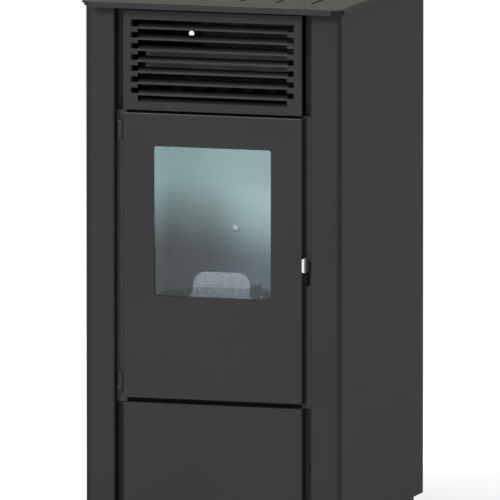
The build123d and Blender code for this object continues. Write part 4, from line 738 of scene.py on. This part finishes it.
ash_steel = bare_steel("ash_steel", (0.62, 0.71, 0.72), 0.66, 0.1)
zinc_plate = bare_steel("zinc_plate", (0.62, 0.63, 0.64), 0.3, 0.15)
give(ash_steel, "firebox_bolts")
give(zinc_plate, "rear_screws", "latch_lever")
give(bare_steel("pot_steel", (0.34, 0.365, 0.42), 0.5, darker_below=POT_RIM), "burn_pot")
give(bare_steel("fire_steel", (0.42, 0.43, 0.45), 0.5), "igniter", "auger", "exhaust_impeller")
give(bare_steel("motor_shell", (0.45, 0.45, 0.46), 0.42, 0.2, 120.0),
     "auger_motor", "exhaust_motor", "blower_motor")

# %% [markdown]
# ### Chrome
#
# The latch grip is the one bright spot on the front. Its face is polished chrome, nearly a mirror. Its
# flanks and the right edge of its face are rougher and get a painted shade: a dark grey, hardly metallic.
# Two materials would need the mesh to be split; the facing group finds the flanks and the piece's own place
# finds the edge. A trace of uneven polish keeps the chrome from looking like liquid.

# %% Chrome the grip
SHADED_RIM_FROM, SHADED_RIM_TO, SHADED_RIM_SHARE = 0.0036, 0.0018, 0.9
STILL_METAL = 0.15

chrome, tree, shader = new_finish("grip_chrome")
edges = use(tree, soft_edges, Radius=0.0006)
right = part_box("latch_grip")[1].x
# Painted shade: the flanks and the right rim of the face are painted dark grey and made hardly metallic.
shaded_rim = stretch(tree, parts_of(tree)["X"], right - SHADED_RIM_FROM, right - SHADED_RIM_TO, 0.0, SHADED_RIM_SHARE)
shaded_flank = count(tree, "MAXIMUM", use(tree, facing)["Flank"], shaded_rim)
haze = noise(tree, 240.0, 3.0)
polished = mix(tree, haze, (0.84, 0.87, 0.93), (0.92, 0.94, 0.98))
shaded_tone = mix(tree, haze, (0.115, 0.125, 0.145), (0.150, 0.160, 0.180))
feed(shader, Base_Color=mix(tree, shaded_flank, polished, shaded_tone),
     Metallic=between(tree, shaded_flank, 1.0, STILL_METAL),
     Roughness=count(tree, "MULTIPLY_ADD", shaded_flank, 0.3, stretch(tree, haze, *SPAN, 0.05, 0.13)),
     Normal=edges["Normal"])
give(chrome, "latch_grip")

# %% [markdown]
# ### Glass
#
# The window is 4 mm ceramic glass with a faint green cast. It is made as real glass, a solid that bends and
# reflects light, so that its edges and reflections are right when the door is open. A thin film, as fine
# ash leaves behind, takes a little of its colour here and there.
#
# Such glass throws a full shadow in a ray tracer, and the fire box behind it would go black. For shadow
# rays and for light that bounces about inside, a transparent shader takes its place, which also means less
# noise.

# %% Glaze the door
CLEAN_GLASS = (0.96, 0.99, 0.99)
FILMED_GLASS = (0.94, 0.98, 0.98)

glass, tree = new_material("window_glass")
film = stretch(tree, noise(tree, 12.0, 4.0), 0.3, 0.8)
solid = add(tree, "BsdfPrincipled", Transmission_Weight=1.0, IOR=1.45, Roughness=0.0,
            Base_Color=mix(tree, film, CLEAN_GLASS, FILMED_GLASS)).outputs["BSDF"]
clear = add(tree, "BsdfTransparent", Color=CLEAN_GLASS).outputs["BSDF"]
rays = add(tree, "LightPath").outputs
passing = count(tree, "MAXIMUM", rays["Is Shadow Ray"], rays["Is Diffuse Ray"])
add(tree, "OutputMaterial", Surface=in_order(tree, "MixShader", passing, solid, clear)["Shader"])
give(glass, "window_glass")

# %% [markdown]
# ### Plastics and rubber
#
# The control panel, keys, sockets and handle are moulded. Moulded plastic has an even colour and a very
# fine spark texture from the mould; only the amount of gloss differs from piece to piece.

# %% Mould the plastics
def moulded(name, colour, roughness, texture=0.00003, specular=0.4):
    """A plastic or rubber straight from its mould."""
    material, tree, shader = new_finish(name, Specular_IOR_Level=specular)
    edges = use(tree, soft_edges, Radius=0.0005)
    drift = stretch(tree, noise(tree, 30.0, 2.0), *SPAN)
    feed(shader, Base_Color=mix(tree, drift, colour, times(tree, colour, 1.25)),
         Roughness=between(tree, drift, roughness - 0.05, roughness + 0.05),
         Normal=bumped(tree, noise(tree, 1400.0, 2.0), texture, edges["Normal"]))
    return material


matt_plastic = moulded("matt_plastic", (0.022, 0.022, 0.023), 0.55)
give(matt_plastic, "control_panel", "hopper_lid_handle", "mains_inlet", "safety_thermostat", "power_switch")
give(moulded("key_plastic", (0.24, 0.24, 0.25), 0.35), "key_minus", "key_power", "key_plus")
give(moulded("button_red", (0.42, 0.03, 0.025), 0.35), "reset_button")
give(moulded("display_glass", (0.010, 0.012, 0.015), 0.1, 0.0, 0.6), "display")
give(moulded("soft_rubber", (0.03, 0.03, 0.03), 0.75, 0.00008), "hopper_lid_gasket")

# %% [markdown]
# ### Glass-fibre rope
#
# The seals are knitted from black glass-fibre yarn. Two crossed waves make the braid: their product is high
# where two yarns cross, and it drives both the colour and the relief.

# %% Braid the seals
BRAID_TURN = 0.9

rope_yarn, tree, shader = new_finish("rope_yarn", Sheen_Weight=0.3)
strands = []
for turn in (BRAID_TURN, -BRAID_TURN):
    turned = add(tree, "Mapping", Vector=place_on(tree), Rotation=(turn, turn, turn)).outputs["Vector"]
    strands.append(add(tree, "TexWave", {"wave_type": "BANDS"}, Vector=turned, Scale=90.0,
                       Distortion=0.6).outputs["Fac"])
braid = product(tree, *strands)
fuzz = noise(tree, 900.0, 3.0)
feed(shader, Base_Color=mix(tree, braid, (0.035, 0.035, 0.035), (0.13, 0.13, 0.13)),
     Roughness=stretch(tree, fuzz, 0.2, 0.8, 0.8, 0.98),
     Normal=bumped(tree, count(tree, "MULTIPLY_ADD", fuzz, 0.2, braid), 0.0008))
give(rope_yarn, "door_seal", "glass_gasket")

# %% [markdown]
# ### The circuit board
#
# The control board is a green varnished card with black parts on it. In the engineering model it is one
# solid, so the card's thickness decides which finish a point gets.

# %% Varnish the board
CARD_FACE = 11.7 * MILLIMETRE

board, tree, shader = new_finish("board", Specular_IOR_Level=0.5)
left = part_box("control_board")[0].x
card = use(tree, stretch_of, Low=(left - FAR, -FAR, 0.0), High=(left + CARD_FACE, FAR, FAR))["Inside"]
upright = add(tree, "Mapping", Vector=place_on(tree), Rotation=(0.0, math.radians(90), 0.0))
tracks = add(tree, "TexBrick", {"offset": 0.5}, Vector=upright.outputs["Vector"], Scale=110.0,
             Color1=(0.012, 0.13, 0.045), Color2=(0.016, 0.10, 0.04), Mortar=(0.05, 0.22, 0.09))
feed(shader, Base_Color=mix(tree, card, (0.02, 0.02, 0.022), tracks.outputs["Color"]),
     Roughness=between(tree, card, 0.5, 0.3))
give(board, "control_board")

# %% [markdown]
# ### Levelling feet
#
# Each foot is a rubber pad moulded on a zinc-plated stud. The pad's height splits the two.

# %% Finish the feet
PAD_HEIGHT = 9.0 * MILLIMETRE
foot_finish, tree, shader = new_finish("foot_finish")
pad = use(tree, stretch_of, Low=(-FAR, -FAR, -FAR), High=(FAR, FAR, PAD_HEIGHT))["Inside"]
grit = noise(tree, 300.0, 3.0)
zinc_tone = mix(tree, grit, (0.5, 0.51, 0.53), (0.68, 0.68, 0.69))
feed(shader, Base_Color=mix(tree, pad, zinc_tone, (0.025, 0.025, 0.025)),
     Metallic=between(tree, pad, 1.0, 0.0), Roughness=between(tree, pad, 0.35, 0.75),
     Normal=bumped(tree, grit, 0.0001))
give(foot_finish, "foot_front_left", "foot_front_right", "foot_rear_left", "foot_rear_right")

# %% [markdown]
# ## Pieces made here
#
# Some small things are better made in Blender than in the engineering model, because they are all surface:
# the twist of a rope, the cross in a screw's head, the signs on the keys. Each takes the place that the
# engineering model gives it, moves with the same body and, where it stands for a plain solid, hides that
# one.
#
# First, two helpers: one turns a drawn mesh into a piece of the stove, and one reads how the separate
# solids of a piece lie, so that no screw's place has to be typed in.

# %% Helpers for new pieces
SAME_POINT = 0.000001


def new_piece(name, drawing, material, body, smooth=True):
    """Turns a drawn mesh into a piece that rides on a body."""
    bmesh.ops.recalc_face_normals(drawing, faces=drawing.faces)
    piece = mesh_object(name, drawing)
    piece.data.materials.append(material)
    if smooth:
        piece.data.shade_smooth()
    else:
        piece.data.shade_flat()
    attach(piece, body)
    print(name, "faces:", len(piece.data.polygons))
    return piece


def solids_of(name):
    """The lowest and highest corner of each separate solid of an engineering piece."""
    drawing = bmesh.new()
    drawing.from_mesh(stove[name].data)
    bmesh.ops.remove_doubles(drawing, verts=drawing.verts, dist=SAME_POINT)
    left = set(drawing.verts)
    boxes = []
    while left:
        found = [left.pop()]
        for vertex in found:
            for edge in vertex.link_edges:
                other = edge.other_vert(vertex)
                if other in left:
                    left.remove(other)
                    found.append(other)
        boxes.append([Vector([pick(vertex.co[axis] for vertex in found) for axis in range(3)])
                      for pick in (min, max)])
    drawing.free()
    return sorted(boxes, key=lambda box: tuple(box[0]))


print("rear screws found:", len(solids_of("rear_screws")))

# %% [markdown]
# ### The rope seal of the door
#
# The door closes on a rope of glass fibre in a groove of its inner frame, laid from three strands that turn
# round each other. A tube with a bump texture would show a smooth outline, so the strands are real,
# slightly flattened tubes. They follow a rectangle with round corners with a whole number of turns, so the
# rope closes on itself.

# %% Lay the rope
ROPE_WIDTH = 8.6 * MILLIMETRE
ROPE_CORNER = 9.0 * MILLIMETRE
ROPE_PITCH = 21.0 * MILLIMETRE
ROPE_STEP = 2.4 * MILLIMETRE
STRANDS = 3
STRAND_SIDES = 8
STRAND_OFFSET = 0.52
STRAND_SIZE = 0.47


def skin(drawing, rings):
    """Joins each ring of points to the next with faces."""
    for ring, following in zip(rings, rings[1:]):
        for side in range(len(ring)):
            beside = (side + 1) % len(ring)
            drawing.faces.new((ring[side], ring[beside], following[beside], following[side]))


def rounded_rectangle(half_across, half_up, corner, step):
    """Points evenly along a rectangle with round corners, each with its outward direction."""
    points = []
    corners = ((1, 1, 0), (-1, 1, 90), (-1, -1, 180), (1, -1, 270))
    for number, (side, end, start) in enumerate(corners):
        middle = Vector((side * (half_across - corner), end * (half_up - corner)))
        arc_steps = max(3, round(math.radians(90) * corner / step))
        for part in range(arc_steps + 1):
            angle = math.radians(start + 90 * part / arc_steps)
            outward = Vector((math.cos(angle), math.sin(angle)))
            points.append((middle + outward * corner, outward))
        run = 2 * ((half_across if number % 2 == 0 else half_up) - corner)
        last, outward = points[-1]
        along = Vector((-outward.y, outward.x))
        run_steps = round(run / step)
        for part in range(1, run_steps):
            points.append((last + along * run * part / run_steps, outward))
    return points


low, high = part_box("door_seal")
centre, half = (low + high) / 2, (high - low) / 2
route = rounded_rectangle(half.x - ROPE_WIDTH / 2, half.z - ROPE_WIDTH / 2, ROPE_CORNER, ROPE_STEP)
lengths = [0.0]
for (here, _), (there, _) in zip(route, route[1:] + route[:1]):
    lengths.append(lengths[-1] + (there - here).length)
turns = round(lengths[-1] / ROPE_PITCH)
drawing = bmesh.new()
for strand in range(STRANDS):
    rings = []
    for (point, outward), length in zip(route, lengths):
        twist = 2 * math.pi * (turns * length / lengths[-1] + strand / STRANDS)
        ring = []
        for side in range(STRAND_SIDES):
            angle = 2 * math.pi * side / STRAND_SIDES
            across = STRAND_OFFSET * math.cos(twist) + STRAND_SIZE * math.cos(angle)
            deep = STRAND_OFFSET * math.sin(twist) + STRAND_SIZE * math.sin(angle)
            flat = point + outward * across * ROPE_WIDTH / 2
            ring.append(drawing.verts.new(centre + Vector((flat.x, deep * half.y, flat.y))))
        rings.append(ring)
    skin(drawing, rings + rings[:1])
door_rope = new_piece("door_rope", drawing, rope_yarn, "door")
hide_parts("door_seal")
print("rope, m:", round(lengths[-1], 3), "turns:", turns)

# %% [markdown]
# ### Screws with a cross recess
#
# The rear panel is held by pan-head screws. A head is a lathe shape: half a profile, turned round the
# screw's axis. A Boolean modifier then cuts the cross, which is slow for big meshes but quick and exact for
# one screw. The cut mesh is copied to all eight places, each with a turn of its own, as no two screws stop
# at the same angle.

# %% Turn one screw and cut its cross
HEAD_RADIUS = 4.0 * MILLIMETRE
HEAD_HEIGHT = 2.0 * MILLIMETRE
SHANK_RADIUS = 2.0 * MILLIMETRE
CROSS_REACH = 2.1 * MILLIMETRE
CROSS_WIDTH = 0.42 * MILLIMETRE
CROSS_DEPTH = 1.1 * MILLIMETRE
TURNED_SIDES = 32
SCREW_TURN = 37


def lathe(drawing, profile, place=Matrix()):
    """A solid turned round Z from (radius, height) pairs; the first and the last lie on the axis."""
    def point(radius, height, side=0):
        angle = 2 * math.pi * side / TURNED_SIDES
        where = Vector((radius * math.cos(angle), radius * math.sin(angle), height))
        return drawing.verts.new(place @ where)

    first, last = point(*profile[0]), point(*profile[-1])
    rings = [[point(*pair, side) for side in range(TURNED_SIDES)] for pair in profile[1:-1]]
    for side in range(TURNED_SIDES):
        beside = (side + 1) % TURNED_SIDES
        drawing.faces.new((first, rings[0][beside], rings[0][side]))
        drawing.faces.new((last, rings[-1][side], rings[-1][beside]))
    skin(drawing, rings)


def domed_profile(head_radius, head_height, shank_radius, shank_length):
    """Half a pan-head screw, from the top of the head to the end of the shank."""
    dome = ((0.0, 1.0), (0.45, 0.97), (0.75, 0.8), (0.93, 0.5), (1.0, 0.12), (0.97, 0.0))
    shank = ((1.0, 0.0), (1.0, -0.94), (0.8, -1.0), (0.0, -1.0))
    return ([(across * head_radius, up * head_height) for across, up in dome]
            + [(across * shank_radius, up * shank_length) for across, up in shank])


def final_mesh(main, *others):
    """The mesh of the main object with its modifiers done; the objects themselves are then removed."""
    bpy.context.view_layer.update()
    graph = bpy.context.evaluated_depsgraph_get()
    mesh = bpy.data.meshes.new_from_object(main.evaluated_get(graph))
    for holder in (main, *others):
        bpy.data.objects.remove(holder, do_unlink=True)
    return mesh


screw_boxes = solids_of("rear_screws")
shank_length = screw_boxes[0][1].y - screw_boxes[0][0].y - HEAD_HEIGHT
drawing = bmesh.new()
lathe(drawing, domed_profile(HEAD_RADIUS, HEAD_HEIGHT, SHANK_RADIUS, shank_length))
bmesh.ops.recalc_face_normals(drawing, faces=drawing.faces)
blank = mesh_object("screw_blank", drawing)
cutters = []
for turn in (0.0, math.radians(90)):
    drawing = bmesh.new()
    bmesh.ops.create_cube(drawing, size=1.0)
    place = (Matrix.Rotation(turn, 4, "Z") @ Matrix.Translation((0.0, 0.0, HEAD_HEIGHT))
             @ Matrix.Diagonal((2 * CROSS_REACH, 2 * CROSS_WIDTH, 2 * CROSS_DEPTH, 1.0)))
    bmesh.ops.transform(drawing, matrix=place, verts=drawing.verts)
    cutter = mesh_object("cross_cutter", drawing)
    cut = blank.modifiers.new("cross", "BOOLEAN")
    cut.object = cutter
    cut.solver = "EXACT"
    cutters.append(cutter)
cut_screw = final_mesh(blank, *cutters)
print("one screw, faces:", len(cut_screw.polygons))

# %% Drive the screws in
drawing = bmesh.new()
for number, (low, high) in enumerate(screw_boxes):
    middle = (low + high) / 2
    single = cut_screw.copy()
    single.transform(Matrix.Translation((middle.x, high.y - HEAD_HEIGHT, middle.z))
                     @ Matrix.Rotation(math.radians(-90), 4, "X")
                     @ Matrix.Rotation(math.radians(SCREW_TURN * number), 4, "Z"))
    drawing.from_mesh(single)
    bpy.data.meshes.remove(single)
bpy.data.meshes.remove(cut_screw)
panel_screws = new_piece("panel_screws", drawing, zinc_plate, "cabinet", smooth=False)
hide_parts("rear_screws")

# %% [markdown]
# ### The bolts in the fire box
#
# One domed bolt holds the back lining, and two small ones hold the plate that carries the pot. They come
# from the same lathe function, without a cross. The long side of each engineering solid tells which way a
# bolt points.

# %% Turn the fire box bolts
LONG_HEAD = 3.0 * MILLIMETRE
SMALL_HEAD = 2.0 * MILLIMETRE

drawing = bmesh.new()
for low, high in solids_of("firebox_bolts"):
    size, top = high - low, (low + high) / 2
    radius = size.x / 2
    if size.y > size.z:
        length, head, top.y = size.y, LONG_HEAD, low.y
        outward = Matrix.Rotation(math.radians(90), 4, "X")
    else:
        length, head, top.z = size.z, SMALL_HEAD, high.z
        outward = Matrix()
    place = Matrix.Translation(top) @ outward @ Matrix.Translation((0.0, 0.0, -head))
    lathe(drawing, domed_profile(radius, head, radius / 2, length - head), place)
fire_bolts = new_piece("fire_bolts", drawing, ash_steel, "cabinet")
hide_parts("firebox_bolts")

# %% [markdown]
# ### Signs and the display's frame
#
# The keys carry the signs that such keys always have: minus, power and plus. They are flat, so a curve is
# the natural tool: closed outlines in a plane, filled and given a thickness. Blender takes an outline
# inside another as a hole, which also makes the frame of the display and the ring on the rocker.

# %% Cut flat signs from outlines
SIGN_THICK = 0.25 * MILLIMETRE


def sign(name, outlines, centre, across, up, material, body, thick=SIGN_THICK):
    """A flat piece from closed outlines in millimetres, standing on the point `centre`."""
    curve = bpy.data.curves.new(name, "CURVE")
    curve.dimensions = "2D"
    curve.fill_mode = "BOTH"
    curve.extrude = thick / 2
    for outline in outlines:
        spline = curve.splines.new("POLY")
        spline.points.add(len(outline) - 1)
        for point, (right, upward) in zip(spline.points, outline):
            point.co = (right * MILLIMETRE, upward * MILLIMETRE, 0.0, 1.0)
        spline.use_cyclic_u = True
    flat = final_mesh(new_object(name, curve))
    outward = across.cross(up)
    place = Matrix((across, up, outward)).transposed().to_4x4()
    place.translation = centre + outward * thick / 2
    flat.transform(place)
    drawing = bmesh.new()
    drawing.from_mesh(flat)
    bpy.data.meshes.remove(flat)
    bmesh.ops.remove_doubles(drawing, verts=drawing.verts, dist=SAME_POINT)
    return new_piece(name, drawing, material, body, smooth=False)


def bar(width, height, up=0.0):
    """A rectangle's outline, with its middle so far up."""
    return [(x * width / 2, up + y * height / 2) for x, y in ((-1, -1), (1, -1), (1, 1), (-1, 1))]


def arc(radius, start, end, steps=40):
    """Points on a circle, in degrees from straight up."""
    turns = [math.radians(start + (end - start) * step / steps) for step in range(steps + 1)]
    return [(radius * math.sin(turn), radius * math.cos(turn)) for turn in turns]


def top_of(name):
    """The middle of the top of an engineering piece."""
    low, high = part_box(name)
    top = (low + high) / 2
    top.z = high.z
    return top


RIGHT, BACK = Vector((1, 0, 0)), Vector((0, 1, 0))
SIGN_REACH = 3
SIGN_WIDTH = 1.1
half = SIGN_WIDTH / 2
quarter = [(half, half), (half, SIGN_REACH), (-half, SIGN_REACH)]
plus = []
for _ in range(4):
    plus += quarter
    quarter = [(-y, x) for x, y in quarter]
power = [arc(3.2, 35, 325) + arc(2.3, 325, 35), bar(0.9, 3.2, up=2.2)]
sign_white = moulded("sign_white", (0.62, 0.62, 0.60), 0.5)
minus = bar(2 * SIGN_REACH, SIGN_WIDTH)
for key, outlines in (("key_minus", [minus]), ("key_power", power), ("key_plus", [plus])):
    sign("sign_" + key, outlines, top_of(key), RIGHT, BACK, sign_white, key)

# %% Frame the display, mark the rocker
def rounded_outline(width, height, corner):
    """A rectangle's outline with round corners, in millimetres."""
    return [tuple(point) for point, _ in rounded_rectangle(width / 2, height / 2, corner, corner / 3)]


RIM_OVER, RIM_UNDER = 4, 1
RIM_CORNER, HOLE_CORNER = 3.0, 1.5
RIM_THICK = 0.6 * MILLIMETRE
low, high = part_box("display")
size = (high - low) / MILLIMETRE
rim = [rounded_outline(size.x + RIM_OVER, size.y + RIM_OVER, RIM_CORNER),
       rounded_outline(size.x - RIM_UNDER, size.y - RIM_UNDER, HOLE_CORNER)]
sign("display_rim", rim, top_of("display"), RIGHT, BACK, matt_plastic, "cabinet",
     RIM_THICK)

SLOPE = math.radians(10)
HALF_ROCKER = 4.25 * MILLIMETRE
ROCKER_DEPTH = 0.75 * MILLIMETRE
low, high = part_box("power_switch")
rocker = (low + high) / 2
rocker.y = high.y - ROCKER_DEPTH
circle = [arc(2.2, 0, 351, 39), arc(1.5, 0, 351, 39)]
for name, outlines, side in (("sign_on", [bar(0.8, 4.4)], 1), ("sign_off", circle, -1)):
    upward = Vector((0, side * math.sin(SLOPE), math.cos(SLOPE)))
    sign(name, outlines, rocker + Vector((0, 0, side * HALF_ROCKER)), -RIGHT, upward, sign_white,
         "power_switch")

# %% [markdown]
# ## The last check
#
# The last cell checks that no piece was forgotten: it prints every piece without a finish.

# %% Check and finish
print("pieces without a finish:", sorted(set(stove) - finished))
